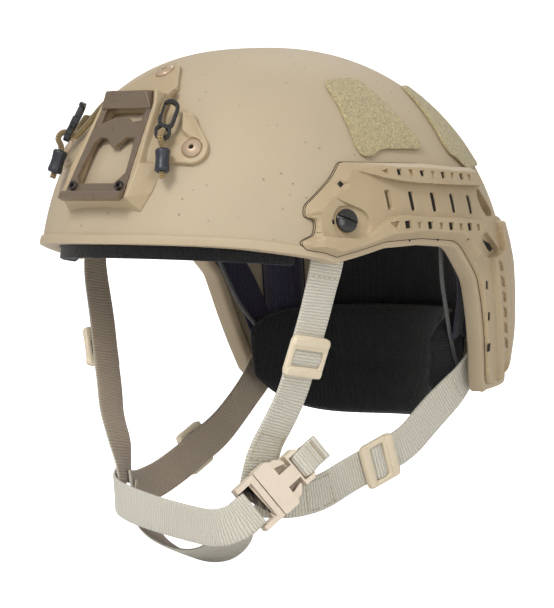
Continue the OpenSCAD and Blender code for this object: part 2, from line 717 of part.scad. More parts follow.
// A round tube along points p, with sides k; each ring stands square to the path
function tangent(p, i) = unit(p[min(len(p) - 1, i + 1)] - p[max(0, i - 1)]);
function side_of(p, i, ref) = unit(cross(tangent(p, i), ref));
function round_ring(p, i, r, k, ref) =
    let (s = side_of(p, i, ref), u = cross(tangent(p, i), s))
    [for (j = [0:k - 1]) p[i] + r * cos(360 * j / k) * s + r * sin(360 * j / k) * u];
module round_tube(p, r, k, ref) {
    pts = [for (i = [0:len(p) - 1]) each round_ring(p, i, r, k, ref)];
    polyhedron(pts, concat(tube_faces(k, len(p)), cap_low(k), cap_high(k, len(p))));
}
// A flat band along points p; f holds the direction that its face looks at each point
function band_ring(p, f, i, w, t) =
    let (s = unit(cross(f[i], tangent(p, i))), n = unit(cross(tangent(p, i), s)))
    [p[i] + s * w / 2 + n * t / 2, p[i] - s * w / 2 + n * t / 2,
     p[i] - s * w / 2 - n * t / 2, p[i] + s * w / 2 - n * t / 2];
module band(p, f, w, t) {
    pts = [for (i = [0:len(p) - 1]) each band_ring(p, f, i, w, t)];
    polyhedron(pts, concat(tube_faces(4, len(p)), cap_low(4), cap_high(4, len(p))));
}
// Rounds a route: every stretch is cut in n steps of a smooth curve through its points
function curve_pt(p, i, s) =
    let (a = p[max(0, i - 1)], b = p[i], c = p[i + 1], d = p[min(len(p) - 1, i + 2)])
    0.5 * (2 * b + (c - a) * s + (2 * a - 5 * b + 4 * c - d) * s * s + (3 * b - a - 3 * c + d) * s * s * s);
function smooth(p, n) = concat(
    [for (i = [0:len(p) - 2], k = [0:n - 1]) curve_pt(p, i, k / n)], [p[len(p) - 1]]);

// A point hung at a distance inside the wall
function in_wall(y, z, off) = [side_x(y, z, -wall) - off, y, z];
lace_path = [
    in_wall(38, 27, 6.3), in_wall(40.5, 17, 8.1), in_wall(45, 1, 11.9), in_wall(52, -17, 13.5),
    in_wall(63.4, -36, 15.2), in_wall(68.6, -49, 11.7), [66, 84, -56], [52, 100, dial_z], [39, 109.5, dial_z],
    [29, 114.8, dial_z], [23.5, dial_y + base_h / 2, dial_z], [19, dial_y + base_h / 2, dial_z]
];
module lace() round_tube(smooth(lace_path, 2), lace_d / 2, 6, [0.2, 0.3, 1]);
module lace_left() color("dimgray") lace();
module lace_right() color("dimgray") mirror([1, 0, 0]) lace();

headband_path = [
    in_wall(40, 26, 3), in_wall(50, 14, 4), in_wall(57, 3, 4.9), in_wall(61.5, -10, 7.8),
    in_wall(63.5, -24, 11), in_wall(64.5, -31.5, 12.4)
];
headband_face = [[1, 0.1, 0.2], [1, 0.2, 0.2], [1, 0.3, 0.3], [1, 0.3, 0.3], [1, 0.35, 0.2], [1, 0.35, 0.1]];
headband_w = 15;
module headband() band(smooth(headband_path, 2), smooth(headband_face, 2), headband_w, 1.2);
module headband_left() color("#2a2840") headband();
module headband_right() color("#2a2840") mirror([1, 0, 0]) headband();

// Chin strap webbing. Routes are chosen by hand; the sliders ride on the straight stretches
// slider_run, given as middle and direction of the left ones.
front_mid = [76, -56, -31.5];
front_dir = unit([-10.5, -5.5, -33.5]);
front_face = unit([1, -0.16, -0.29]);
rear_mid = [68.1, 4.5, -93];
rear_dir = unit([-6.5, -33, -12]);
rear_face = unit([1, -0.15, -0.13]);
run_l = slider_l / 2 + 11;
front_strap_path = concat(
    [in_wall(-47, 28.6, 3.8), in_wall(-48.5, 18, 5), in_wall(-51, 4, 7.9)],
    [front_mid - run_l * front_dir, front_mid + run_l * front_dir],
    [[64.6, -64.1, -66], [55.5, -67.1, -80.5], [52.4, -67.8, -92.9], [50.6, -68.8, -103.2]]);
front_strap_face = [
    [1, -0.3, 0.1], [1, -0.26, -0.1], [1, -0.18, -0.25], front_face, front_face,
    [1, -0.2, -0.3], [1, -0.2, -0.3], [1, -0.5, -0.2], [1, -0.6, -0.2]];
module front_strap() band(front_strap_path, front_strap_face, web_w, web_t);
module front_strap_left() color("darkkhaki") front_strap();
module front_strap_right() color("darkkhaki") mirror([1, 0, 0]) front_strap();

rear_strap_path = concat(
    [in_wall(73.5, -47, 3.9), in_wall(67, -53, 6.1), [75.4, 58, -61], [73.8, 45, -70.5]],
    [rear_mid - run_l * rear_dir, rear_mid + run_l * rear_dir],
    [[63, -32, -106.4], [59.4, -48, -108.6], [53.6, -57.8, -108.2], [47.4, -66.8, -106.5]]);
rear_strap_face = [
    [1, 0.46, 0], [1, 0.38, 0], [1, 0.2, 0.1], [1, 0, 0.05], rear_face, rear_face,
    [1, -0.2, -0.1], [1, -0.35, -0.1], [1, -0.55, -0.15], [1, -0.6, -0.15]];
module rear_strap() band(rear_strap_path, rear_strap_face, web_w, web_t);
module rear_strap_left() color("darkkhaki") rear_strap();
module rear_strap_right() color("darkkhaki") mirror([1, 0, 0]) rear_strap();

// Buckle. Its own frame: +X runs from the latch to the socket's tab, +Z looks outwards
buckle_c = [62.7, -73.2, -103.1];
buckle_x = unit([12, 33, 25]);
buckle_z = unit([0.886, -0.438, 0.154]);
module buckle_place() {
    y = cross(buckle_z, buckle_x);
    multmatrix([
        [buckle_x[0], y[0], buckle_z[0], buckle_c[0]],
        [buckle_x[1], y[1], buckle_z[1], buckle_c[1]],
        [buckle_x[2], y[2], buckle_z[2], buckle_c[2]]]) children();
}
latch_l = 13;
prong_w = 5;
wall_b = 1.6;
bar_w = 3;
bar_h = 4.4;
module buckle_socket() color("bisque") buckle_place() {
    w = buckle_w / 2;
    neck = 8.6;
    difference() {
        translate([0, 0, -buckle_t / 2]) linear_extrude(buckle_t)
            polygon([
                [0, -w + 1], [1, -w], [9, -w], [13, -w + 4], [17, -w + 4.6], [socket_l - 2, -neck - 1],
                [socket_l, -neck + 1], [socket_l, neck - 1], [socket_l - 2, neck + 1], [17, w - 4.6],
                [13, w - 4], [9, w], [1, w], [0, w - 1]
            ]);
        // Mouth for the latch's tongue and prongs, windows at the sides and the webbing slot
        translate([-over, -w + wall_b, -buckle_t / 2 + wall_b])
            cube([socket_l - 8 + over, buckle_w - 2 * wall_b, buckle_t - 2 * wall_b]);
        for (s = [-1, 1])
            translate([10.5, s > 0 ? 4 : -w - over, -buckle_t / 2 + wall_b - 0.2])
                cube([8.5, w - 4 + over, buckle_t - wall_b + over]);
        translate([socket_l - 7, -neck + 1.4, -far / 2]) cube([7 - bar_w, 2 * neck - 2.8, far]);
        for (s = [-1, 1])
            translate([socket_l - 7, -neck + 1.4, s > 0 ? bar_h / 2 : -bar_h / 2 - far]) cube([far, 2 * neck - 2.8, far]);
    }
}
module buckle_latch() color("bisque") buckle_place() {
    w = buckle_w / 2;
    inner = buckle_t - 2 * wall_b - 2 * gap;
    // Base with its webbing slot
    difference() {
        translate([-latch_l, 0, 0]) difference() {
            translate([0, -w + 0.4, -buckle_t / 2]) cube([latch_l - 0.6, buckle_w - 0.8, buckle_t]);
            translate([-over, -w + 3.2, 1.4]) cube([latch_l - 4 + over, buckle_w - 6.4, buckle_t]);
        }
        translate([-latch_l + bar_w, -web_w / 2 - 0.6, -far / 2]) cube([4.6, web_w + 1.2, far]);
    }
    // Middle tongue and the two sprung prongs with their heads
    translate([-1, -1.6, -inner / 2]) cube([socket_l - 10, 3.2, inner]);
    for (s = [-1, 1])
        mirror([0, s < 0 ? 1 : 0, 0]) translate([0, 0, -inner / 2]) linear_extrude(inner)
            polygon([
                [-1, w - 6.6], [-1, w - 2.2], [10.8, w - 3.4], [11.2, w - 1.8], [14.5, w - 2.6],
                [17.5, w - 6.2], [17.4, w - 7.6], [12, w - 6]
            ]);
}
tab_l = 14;
module buckle_tab() color("darkkhaki") buckle_place() {
    r = norm([bar_w, bar_h]) / 2 + gap + web_t / 2;
    x = socket_l - bar_w / 2;
    // Webbing led through the slot, round the bar and back on itself
    p = concat(
        [[x + tab_l, 0, web_t / 2 + 0.1], [x + r + 2.5, 0, web_t / 2 + 0.2]],
        [for (a = [60:30:300]) [x + r * cos(a), 0, r * sin(a)]],
        [[x + r + 2.5, 0, -web_t / 2 - 0.2], [x + tab_l, 0, -web_t / 2 - 0.1]]);
    f = concat([[0, 0, 1], [0, 0, 1]], [for (a = [60:30:300]) [cos(a), 0, sin(a)]], [[0, 0, -1], [0, 0, -1]]);
    band(p, f, 2 * 8.6 - 3.4, web_t);
}

// Chin bands from the right junction, round the chin to the latch's slot
function latch_pt(x, z) = buckle_c + x * buckle_x + z * buckle_z;
chin_front_path = [
    [-60, -60.5, -103], [-56.7, -67.8, -105], [-51, -76, -108], [-41, -82, -110.5], [-26, -86.6, -112.8],
    [-8, -89.4, -114.8], [10, -91.6, -116.6], [26, -93.4, -118.2], [40, -95, -119.2], [51, -95.8, -118.6],
    latch_pt(-21.5, 3.6), latch_pt(-15.6, 2.8), latch_pt(-10.5, 2.65)
];
chin_front_face = [
    [-1, -0.5, 0], [-1, -0.6, 0], [-1, -0.95, 0], [-0.6, -1, 0], [-0.3, -1, 0], [-0.1, -1, -0.05],
    [0.1, -1, -0.1], [0.2, -1, -0.1], [0.4, -1, -0.1], [0.7, -0.8, 0], [0.87, -0.5, 0.1], buckle_z, buckle_z
];
chin_under_path = [
    [-49.6, -57.1, -107], [-45.7, -61.1, -116], [-39.6, -65, -126], [-27, -68, -134], [-9, -69.5, -138.6],
    [10, -71, -139], [26, -74, -135.5], [38, -76.5, -129.5], [47.5, -81.5, -123], latch_pt(-21, -5),
    latch_pt(-13.4, -1.4)
];
chin_under_face = [
    [-1, -0.6, -0.2], [-1, -0.5, -0.5], [-0.7, -0.4, -1], [-0.4, -0.4, -1], [0, -0.4, -1], [0.2, -0.5, -1],
    [0.5, -0.6, -0.8], [0.7, -0.6, -0.6], [0.8, -0.6, -0.3], [0.87, -0.5, 0], buckle_z
];
module chin_band_front() color("darkkhaki") band(chin_front_path, chin_front_face, web_w, web_t);
module chin_band_under() color("darkkhaki") band(chin_under_path, chin_under_face, web_w - 1, web_t);

// Ladder slider: a frame in front of the straight webbing, with the strap's turn in its window
module slider(mid, dir, face) {
    n = unit(face - (face * dir) * dir);
    y = cross(n, dir);
    w = web_w + 5;
    stand_off = web_t / 2 + gap;
    multmatrix([
        [dir[0], y[0], n[0], mid[0]], [dir[1], y[1], n[1], mid[1]], [dir[2], y[2], n[2], mid[2]]]) {
        translate([0, 0, stand_off]) difference() {
            hull() for (a = [-1, 1], b = [-1, 1])
                translate([a * (slider_l / 2 - 2), b * (w / 2 - 2), 0]) cylinder(r = 2, h = slider_t);
            translate([-3.6, -web_w / 2 + 0.6, -over]) cube([9, web_w - 1.2, slider_t + 2 * over]);
        }
        // The bar with the webbing's turn over it, in the window
        translate([1, 0, stand_off + 0.2]) intersection() {
            translate([-4.3, -web_w / 2, 0]) cube([8.4, web_w, slider_t]);
            translate([0, 0, -3.4]) rotate([90, 0, 0]) cylinder(r = 6.4, h = web_w, center = true);
        }
    }
}
module slider_front_left() color("wheat") slider(front_mid, front_dir, front_face);
module slider_front_right() color("wheat") mirror([1, 0, 0]) slider(front_mid, front_dir, front_face);
module slider_rear_left() color("wheat") slider(rear_mid, rear_dir, rear_face);
module slider_rear_right() color("wheat") mirror([1, 0, 0]) slider(rear_mid, rear_dir, rear_face);

// Snap hook, flat in its own plane: +X runs from the cord eye to the nose
hook_p = [35, front_y(35, 96, 11), 96];
hook_x = unit([-0.085, 0.54, 0.84]);
hook_n = unit([0.75, -0.66, 0.3]);
hook_t = 3;
hook_l = 17;
hook_w = 9;
hook_eye = hook_l / 2 + 2;
hook_z = unit(hook_n - (hook_n * hook_x) * hook_x);
module hook_place() {
    y = cross(hook_z, hook_x);
    multmatrix([
        [hook_x[0], y[0], hook_z[0], hook_p[0]], [hook_x[1], y[1], hook_z[1], hook_p[1]],
        [hook_x[2], y[2], hook_z[2], hook_p[2]]]) children();
}
module capsule_2d(l, r) {
    translate([-l / 2, -r]) square([l, 2 * r]);
    for (s = [-1, 1]) translate([s * l / 2, 0]) circle(r);
}
module snap_hook() hook_place() {
    r = hook_w / 2;
    translate([0, 0, -hook_t / 2]) linear_extrude(hook_t) {
        difference() {
            capsule_2d(hook_l - hook_w, r);
            capsule_2d(hook_l - hook_w, r - 2);
            translate([-1.6, 0]) square([6.8, r + 1]);
        }
        difference() {
            translate([-hook_eye, 0]) circle(4.4);
            translate([-hook_eye, 0]) circle(2.7);
        }
    }
}
gate_pivot = [-2.7, hook_w / 2 - 1, 0];
module hook_gate() hook_place() translate(gate_pivot) {
    translate([1.4, -0.7, -hook_t / 2 + 0.4]) cube([5.9, 1.4, hook_t - 0.8]);
}
module snap_hook_left() color("#1a1a1a") snap_hook();
module snap_hook_right() color("#1a1a1a") mirror([1, 0, 0]) snap_hook();
module hook_gate_left() color("#1a1a1a") hook_gate();
module hook_gate_right() color("#1a1a1a") mirror([1, 0, 0]) hook_gate();

sleeve_low = [41.4, front_y(41.4, 67, 8.4), 67];
sleeve_high = [39, front_y(39, 78.6, 9.8), 78.6];
module cord_sleeve() {
    d = sleeve_high - sleeve_low;
    stand(sleeve_low, unit(d)) difference() {
        union() {
            cylinder(d = sleeve_d, h = norm(d));
            translate([0, 0, -1.5]) cylinder(d = sleeve_d - 1.6, h = 1.5);
        }
        translate([0, 0, -over - 1.5]) cylinder(d = cord_d + 0.8, h = norm(d) + 4 * over);
    }
}
module cord_sleeve_left() color("slategray") cord_sleeve();
module cord_sleeve_right() color("slategray") mirror([1, 0, 0]) cord_sleeve();

// Shock cord from above the upper lip, down beside the tower, out through the hook's eye and into the sleeve
eye_p = hook_p - hook_eye * hook_x;
sleeve_dir = unit(sleeve_high - sleeve_low);
cord_path = concat(
    [for (q = [[20.8, 107.5, 2.8], [23.2, 103, 5.4], [25.4, 97, 6.2], [28.2, 91.5, 6.4]]) [q[0], front_y(q[0], q[1], q[2]), q[1]]],
    [eye_p - 4.4 * hook_z + [0, 0, 0.8], eye_p - 2 * hook_z, eye_p + 2 * hook_z],
    [eye_p + 3.9 * hook_z - 1.8 * hook_x, eye_p + 3.9 * hook_z - 5 * hook_x],
    [sleeve_high, sleeve_low - 3 * sleeve_dir]);
module shock_cord() round_tube(smooth(cord_path, 2), cord_d / 2, 6, [1, 0.3, 0]);
module shock_cord_left() color("peru") shock_cord();
module shock_cord_right() color("peru") mirror([1, 0, 0]) shock_cord();

shell();
edge_trim();
shroud_body();
shroud_insert();
insert_screws();
shroud_screws();
rail_left();
rail_right();
ear_bolts();
bolt_nuts();
loop_side_left();
loop_side_right();
loop_rear_left();
loop_rear_right();
brow_pad();
crown_pad();
side_pad_left();
side_pad_right();
rear_pad_left();
rear_pad_right();
rear_pad_mid();
nape_pad();
nape_cradle();
dial_base();
dial_knob();
lace_left();
lace_right();
headband_left();
headband_right();
front_strap_left();
front_strap_right();
rear_strap_left();
rear_strap_right();
chin_band_front();
chin_band_under();
buckle_tab();
buckle_socket();
buckle_latch();
slider_front_left();
slider_front_right();
slider_rear_left();
slider_rear_right();
snap_hook_left();
snap_hook_right();
hook_gate_left();
hook_gate_right();
shock_cord_left();
shock_cord_right();
cord_sleeve_left();
cord_sleeve_right();
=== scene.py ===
"""Looks of a high-cut combat helmet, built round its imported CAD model.

Sizes in this file are millimetres, in the CAD model's frame: +X is the wearer's left, the brow
faces -Y and +Z is up. They become metres when a mesh is made.
"""

from __future__ import annotations

import json
import logging
import math
from collections.abc import Callable, Iterator
from dataclasses import dataclass
from enum import Enum
from functools import reduce

import bmesh
import bpy
import numpy as np
from mathutils import Matrix, Vector

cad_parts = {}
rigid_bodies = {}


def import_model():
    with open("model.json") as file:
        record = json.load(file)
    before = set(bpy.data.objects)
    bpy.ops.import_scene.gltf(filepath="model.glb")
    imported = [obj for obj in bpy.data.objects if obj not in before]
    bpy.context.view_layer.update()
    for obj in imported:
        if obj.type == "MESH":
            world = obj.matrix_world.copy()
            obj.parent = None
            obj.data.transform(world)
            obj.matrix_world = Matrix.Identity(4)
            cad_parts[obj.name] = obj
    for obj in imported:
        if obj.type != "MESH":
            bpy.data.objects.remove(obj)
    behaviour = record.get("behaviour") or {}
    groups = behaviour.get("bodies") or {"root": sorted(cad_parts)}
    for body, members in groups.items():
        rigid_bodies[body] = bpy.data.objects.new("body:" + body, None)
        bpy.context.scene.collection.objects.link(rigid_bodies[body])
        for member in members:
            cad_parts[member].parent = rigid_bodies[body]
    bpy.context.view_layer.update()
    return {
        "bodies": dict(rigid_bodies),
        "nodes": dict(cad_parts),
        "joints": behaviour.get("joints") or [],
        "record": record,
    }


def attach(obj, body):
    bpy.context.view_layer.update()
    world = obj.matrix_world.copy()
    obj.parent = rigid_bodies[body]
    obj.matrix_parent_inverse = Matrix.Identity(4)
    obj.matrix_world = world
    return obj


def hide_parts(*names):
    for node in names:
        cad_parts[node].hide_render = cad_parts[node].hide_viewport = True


MM = 0.001
MERGE_MM = 0.004
MAP_NAME = "weave"
INNER_SHIFT = 1000.0
LOG = logging.getLogger("helmet")
Array = np.ndarray
Pair = tuple[np.ndarray, np.ndarray]
Size = tuple[float, float]


class Body(Enum):
    """The CAD bodies that pieces ride on."""

    HELMET = "helmet"
    NAPE = "nape_unit"
    DIAL = "dial"
    BUCKLE = "buckle_half"
    SLIDER_FRONT_LEFT = "slider_fl"
    SLIDER_FRONT_RIGHT = "slider_fr"
    SLIDER_REAR_LEFT = "slider_rl"
    SLIDER_REAR_RIGHT = "slider_rr"
    GATE_LEFT = "gate_l"
    GATE_RIGHT = "gate_r"


# Node trees


Colour = tuple[float, float, float]
Socket = bpy.types.NodeSocket
Material = bpy.types.Material
Thing = bpy.types.Object


def rgba(colour: Colour, gain: float = 1.0) -> tuple[float, ...]:
    """The colour with its three parts multiplied by gain, and full alpha."""
    return (*(min(1.0, part * gain) for part in colour), 1.0)


class Tree:
    """A node tree that is filled one node at a time."""

    place: Socket

    def __init__(self, tree: bpy.types.NodeTree) -> None:
        """Keeps the tree to fill."""
        self.tree = tree

    def feed(self, socket: Socket, value: object) -> None:
        """Links a socket to another one, or sets it to a plain value."""
        if isinstance(value, Socket):
            self.tree.links.new(value, socket)
        else:
            socket.default_value = value

    def add(self, kind: str, feeds: dict | None = None, **settings: object) -> bpy.types.Node:
        """Adds a node.

        Args:
            kind: the node's type name, without its ShaderNode prefix.
            feeds: for each input, by name or number, a value or the socket that feeds it.
            settings: attributes of the node.
        Returns:
            The node.
        """
        node = self.tree.nodes.new("ShaderNode" + kind)
        for key, value in settings.items():
            setattr(node, key, value)
        for key, value in (feeds or {}).items():
            self.feed(node.inputs[key], value)
        return node

    def math(self, kind: str, a: object, b: object = 0.0, clamp: bool = False) -> Socket:
        """Adds a Math node and gives its result; kind is the operation's name."""
        return self.add("Math", {0: a, 1: b}, operation=kind, use_clamp=clamp).outputs[0]

    def times(self, a: object, b: object) -> Socket:
        """The product of two values."""
        return self.math("MULTIPLY", a, b)

    def plus(self, a: object, b: object) -> Socket:
        """The sum of two values."""
        return self.math("ADD", a, b)

    def ripple(self, value: object) -> Socket:
        """Humps one unit long: the absolute sine of pi times the value."""
        return self.math("ABSOLUTE", self.math("SINE", self.times(value, math.pi)))

    def span(
        self, value: object, low: float, high: object, to_low: float = 0.0, to_high: float = 1.0,
    ) -> Socket:
        """Adds a clamped Map Range node from low..high to to_low..to_high and gives its result."""
        feeds = {"Value": value, "From Min": low, "From Max": high, "To Min": to_low, "To Max": to_high}
        return self.add("MapRange", feeds).outputs[0]

    def noise(self, scale: object, detail: float, **more: float) -> Socket:
        """Adds a noise over the tree's coordinates and gives its strength; more are other inputs."""
        feeds = {"Vector": self.place, "Scale": scale, "Detail": detail}
        return self.add("TexNoise", feeds | more).outputs[0]

    def cells(self, scale: object, **more: float) -> bpy.types.Node:
        """Adds a cell pattern over the tree's coordinates; more are other inputs."""
        return self.add("TexVoronoi", {"Vector": self.place, "Scale": scale} | more)

    def split(self, vector: Socket) -> list[Socket]:
        """The three parts of a vector."""
        return list(self.add("SeparateXYZ", {0: vector}).outputs)

    def blend(self, mask: object, first: object, second: object, mode: str = "MIX") -> Socket:
        """Adds a colour Mix node.

        Args:
            mask: the share of the second colour, or how far mode is carried out.
            first, second: the colours.
            mode: the node's blend type.
        Returns:
            The colour: first where mask is 0, second where it is 1.
        """
        node = self.add("Mix", data_type="RGBA", blend_type=mode)
        values = {"Factor_Float": mask, "A_Color": first, "B_Color": second}
        for socket in node.inputs:
            if socket.identifier in values:
                self.feed(socket, values[socket.identifier])
        return next(s for s in node.outputs if s.identifier == "Result_Color")


class Effect(Enum):
    """Shader node groups that several finishes share."""

    GRAIN = "moulded_grain"
    FLECKS = "paint_flecks"
    RIBS = "webbing_ribs"
    KNIT = "mesh_knit"
    PILE = "loop_pile"
    BRAID = "cord_braid"
    EDGES = "edge_wear"


class Group(Tree):
    """A shader node group that is being built."""

    def __init__(self, effect: Effect, inputs: dict[str, float], outputs: tuple[str, ...]) -> None:
        """Starts the group.

        Args:
            effect: which group it is.
            inputs: names of its number inputs with their defaults, after the input Vector.
            outputs: names of its number outputs.
        """
        super().__init__(bpy.data.node_groups.new(effect.value, "ShaderNodeTree"))
        new_socket = self.tree.interface.new_socket
        new_socket(name="Vector", in_out="INPUT", socket_type="NodeSocketVector")
        for name, value in inputs.items():
            new_socket(name=name, in_out="INPUT", socket_type="NodeSocketFloat").default_value = value
        for name in outputs:
            new_socket(name=name, in_out="OUTPUT", socket_type="NodeSocketFloat")
        self.enter = self.tree.nodes.new("NodeGroupInput")
        self.leave = self.tree.nodes.new("NodeGroupOutput")
        self.place = self.get("Vector")

    def get(self, name: str) -> Socket:
        """The socket that brings one of the inputs."""
        return self.enter.outputs[name]

    def give(self, **results: Socket) -> bpy.types.NodeTree:
        """Links results to the outputs of the same names and gives the finished group."""
        for name, socket in results.items():
            self.feed(self.leave.inputs[name], socket)
        return self.tree


class Effects:
    """The shared shader groups, each built once."""

    def __init__(self) -> None:
        """Builds all the groups."""
        makers = (self.grain, self.flecks, self.ribs, self.knit, self.pile, self.braid, self.edges)
        self.groups = {effect: maker() for effect, maker in zip(Effect, makers)}

    def grain(self) -> bpy.types.NodeTree:
        """Fine grain: a coarse and a fine noise added, Height for bump and Shade for colour."""
        group = Group(Effect.GRAIN, {"Scale": 900.0, "Fine": 0.5}, ("Height", "Shade"))
        scale = group.get("Scale")
        fine = group.noise(group.times(scale, 3.1), 1.0)
        height = group.plus(group.noise(scale, 2.0), group.times(fine, group.get("Fine")))
        broad = group.noise(group.times(scale, 0.03), 3.0)
        shade = group.plus(group.times(broad, 0.7), group.times(fine, 0.3))
        return group.give(Height=height, Shade=group.span(shade, 0.3, 0.7))

    def flecks(self) -> bpy.types.NodeTree:
        """Sparse dots: a small round one in each cell of a Voronoi pattern whose random colour picks it."""
        group = Group(Effect.FLECKS, {"Scale": 260.0, "Share": 0.3, "Radius": 0.09}, ("Mask",))
        cells = group.cells(group.get("Scale"))
        pick = group.add("SeparateColor", {0: cells.outputs["Color"]}).outputs
        chosen = group.math("LESS_THAN", pick[0], group.get("Share"))
        size = group.times(group.get("Radius"), group.plus(pick[1], 0.5))
        ratio = group.math("DIVIDE", cells.outputs["Distance"], size)
        inside = group.math("SUBTRACT", 1.0, ratio, clamp=True)
        return group.give(Mask=group.times(group.span(inside, 0.0, 0.5), chosen))

    def ribs(self) -> bpy.types.NodeTree:
        """Webbing: rounded ribs across the band, wavy by a noise, with fine warp lines along it."""
        group = Group(Effect.RIBS, {"Rib": 1.65, "Warp": 1.1}, ("Height", "Shade"))
        across, along, _ = group.split(group.place)
        shifted = group.plus(along, group.times(group.noise(0.35, 2.0), 1.4))
        rib = group.ripple(group.math("DIVIDE", shifted, group.get("Rib")))
        warp = group.ripple(group.math("DIVIDE", across, group.get("Warp")))
        thread = group.plus(group.times(warp, 0.3), 0.7)
        height = group.times(group.math("POWER", rib, 0.7), thread)
        shade = group.plus(group.times(height, 0.7), group.times(group.noise(1.3, 3.0), 0.6))
        return group.give(Height=height, Shade=group.span(shade, 0.2, 1.0))

    def knit(self) -> bpy.types.NodeTree:
        """Spacer knit: dimples at the centres of a Voronoi pattern's cells, with a fine noise over them."""
        group = Group(Effect.KNIT, {"Scale": 380.0}, ("Height", "Shade"))
        scale = group.get("Scale")
        dimple = group.span(group.cells(scale, Randomness=0.35).outputs["Distance"], 0.1, 0.6)
        height = group.plus(dimple, group.times(group.noise(group.times(scale, 4.0), 2.0), 0.5))
        return group.give(Height=height, Shade=group.span(height, 0.3, 1.4))

    def pile(self) -> bpy.types.NodeTree:
        """Loop pile: a fine noise bent by a second one, so that the loops lie in tufts."""
        group = Group(Effect.PILE, {"Scale": 1500.0}, ("Height", "Shade"))
        scale = group.get("Scale")
        tuft = group.noise(group.times(scale, 0.55), 2.0)
        height = group.plus(group.noise(scale, 3.0, Distortion=2.2), group.times(tuft, 0.8))
        return group.give(Height=height, Shade=group.span(height, 0.65, 1.15))

    def braid(self) -> bpy.types.NodeTree:
        """Braid: two sets of slanting strands round the cord, crossing like a chequer."""
        group = Group(Effect.BRAID, {"Pitch": 1.2}, ("Height", "Shade"))
        turns, run = (group.math("DIVIDE", part, group.get("Pitch")) for part in group.split(group.place)[:2])
        slants = (group.math(kind, turns, run) for kind in ("ADD", "SUBTRACT"))
        cross = group.times(*(group.math("SINE", group.times(slant, math.pi)) for slant in slants))
        height = group.math("POWER", group.math("ABSOLUTE", cross), 0.5)
        return group.give(Height=height, Shade=group.span(cross, -0.3, 0.3))

    def edges(self) -> bpy.types.NodeTree:
        """Wear on outer edges: where the surface bulges, broken up by noise."""
        group = Group(Effect.EDGES, {"Scale": 300.0, "Reach": 0.06}, ("Mask",))
        point = group.add("NewGeometry").outputs["Pointiness"]
        bulge = group.span(point, 0.51, group.plus(0.5, group.get("Reach")))
        broken = group.span(group.noise(group.get("Scale"), 4.0), 0.35, 0.65)
        return group.give(Mask=group.times(bulge, broken))


class Surface(Tree):
    """A material's tree with its shader."""

    def __init__(self, name: str, colour: Colour, rough: float, **fixed: float) -> None:
        """Makes the material.

        Args:
            name: the material's name.
            colour: its base colour.
            rough: its roughness.
            fixed: plain values for the shader's sockets, with _ for the spaces in their names.
        """
        self.material = bpy.data.materials.new(name)
        self.material.use_nodes = True
        super().__init__(self.material.node_tree)
        self.tree.nodes.clear()
        self.shader = self.add("BsdfPrincipled", {"Base Color": rgba(colour), "Roughness": rough})
        for key, value in fixed.items():
            self.shader.inputs[key.replace("_", " ")].default_value = value
        self.add("OutputMaterial", {"Surface": self.shader.outputs[0]})
        self.place = self.add("TexCoord").outputs["Object"]

    def weave(self) -> Socket:
        """The piece's own map, in millimetres."""
        return self.add("UVMap", uv_map=MAP_NAME).outputs[0]

    def effect(self, effects: Effects, effect: Effect, **feeds: object) -> bpy.types.bpy_prop_collection:
        """Places a shared group over the Object coordinates, or over Vector if given; gives its outputs."""
        return self.add("Group", {"Vector": self.place} | feeds, node_tree=effects.groups[effect]).outputs

    def shades(self, mask: Socket, colour: Colour, low: float, high: float) -> Socket:
        """The colour times low where mask is 0, and times high where it is 1."""
        return self.blend(mask, rgba(colour, low), rgba(colour, high))

    def finish(
        self, height: Socket, depth: float, colour: Socket | None = None, rough: Socket | None = None,
    ) -> Material:
        """Feeds the shader.

        Args:
            height: the bump's height.
            depth: how deep the bump is, in millimetres.
            colour: the base colour, if it varies.
            rough: the roughness, if it varies.
        Returns:
            The material.
        """
        bump = self.add("Bump", {"Height": height, "Strength": 1.0, "Distance": depth * MM}).outputs[0]
        for name, socket in (("Normal", bump), ("Base Color", colour), ("Roughness", rough)):
            if socket is not None:
                self.feed(self.shader.inputs[name], socket)
        return self.material


# Finishes


@dataclass(frozen=True)
class Finish:
    """What every finish has: its name, colour and roughness."""

    name: str
    colour: Colour
    rough: float = 0.6

    def start(self, **fixed: float) -> Surface:
        """Starts the material; fixed are plain values for the shader's sockets."""
        return Surface(self.name, self.colour, self.rough, **fixed)


@dataclass(frozen=True)
class PaintFinish(Finish):
    """Textured matt paint with a few small flecks in it."""

    grain: float = 1100.0
    depth: float = 0.05
    fleck: float = 0.5

    def material(self, effects: Effects) -> Material:
        """Builds the material."""
        paint = self.start(Specular_IOR_Level=0.4)
        grain = paint.effect(effects, Effect.GRAIN, Scale=self.grain, Fine=0.8)
        flecks = paint.effect(effects, Effect.FLECKS, Scale=210.0, Share=0.34, Radius=0.15)["Mask"]
        base = paint.shades(grain["Shade"], self.colour, 0.955, 1.035)
        colour = paint.blend(paint.times(flecks, 0.75), base, rgba(self.colour, self.fleck))
        height = paint.math("SUBTRACT", grain["Height"], paint.times(flecks, 1.2))
        rough = paint.span(grain["Shade"], 0.0, 1.0, self.rough - 0.05, self.rough + 0.06)
        return paint.finish(height, self.depth, colour, rough)


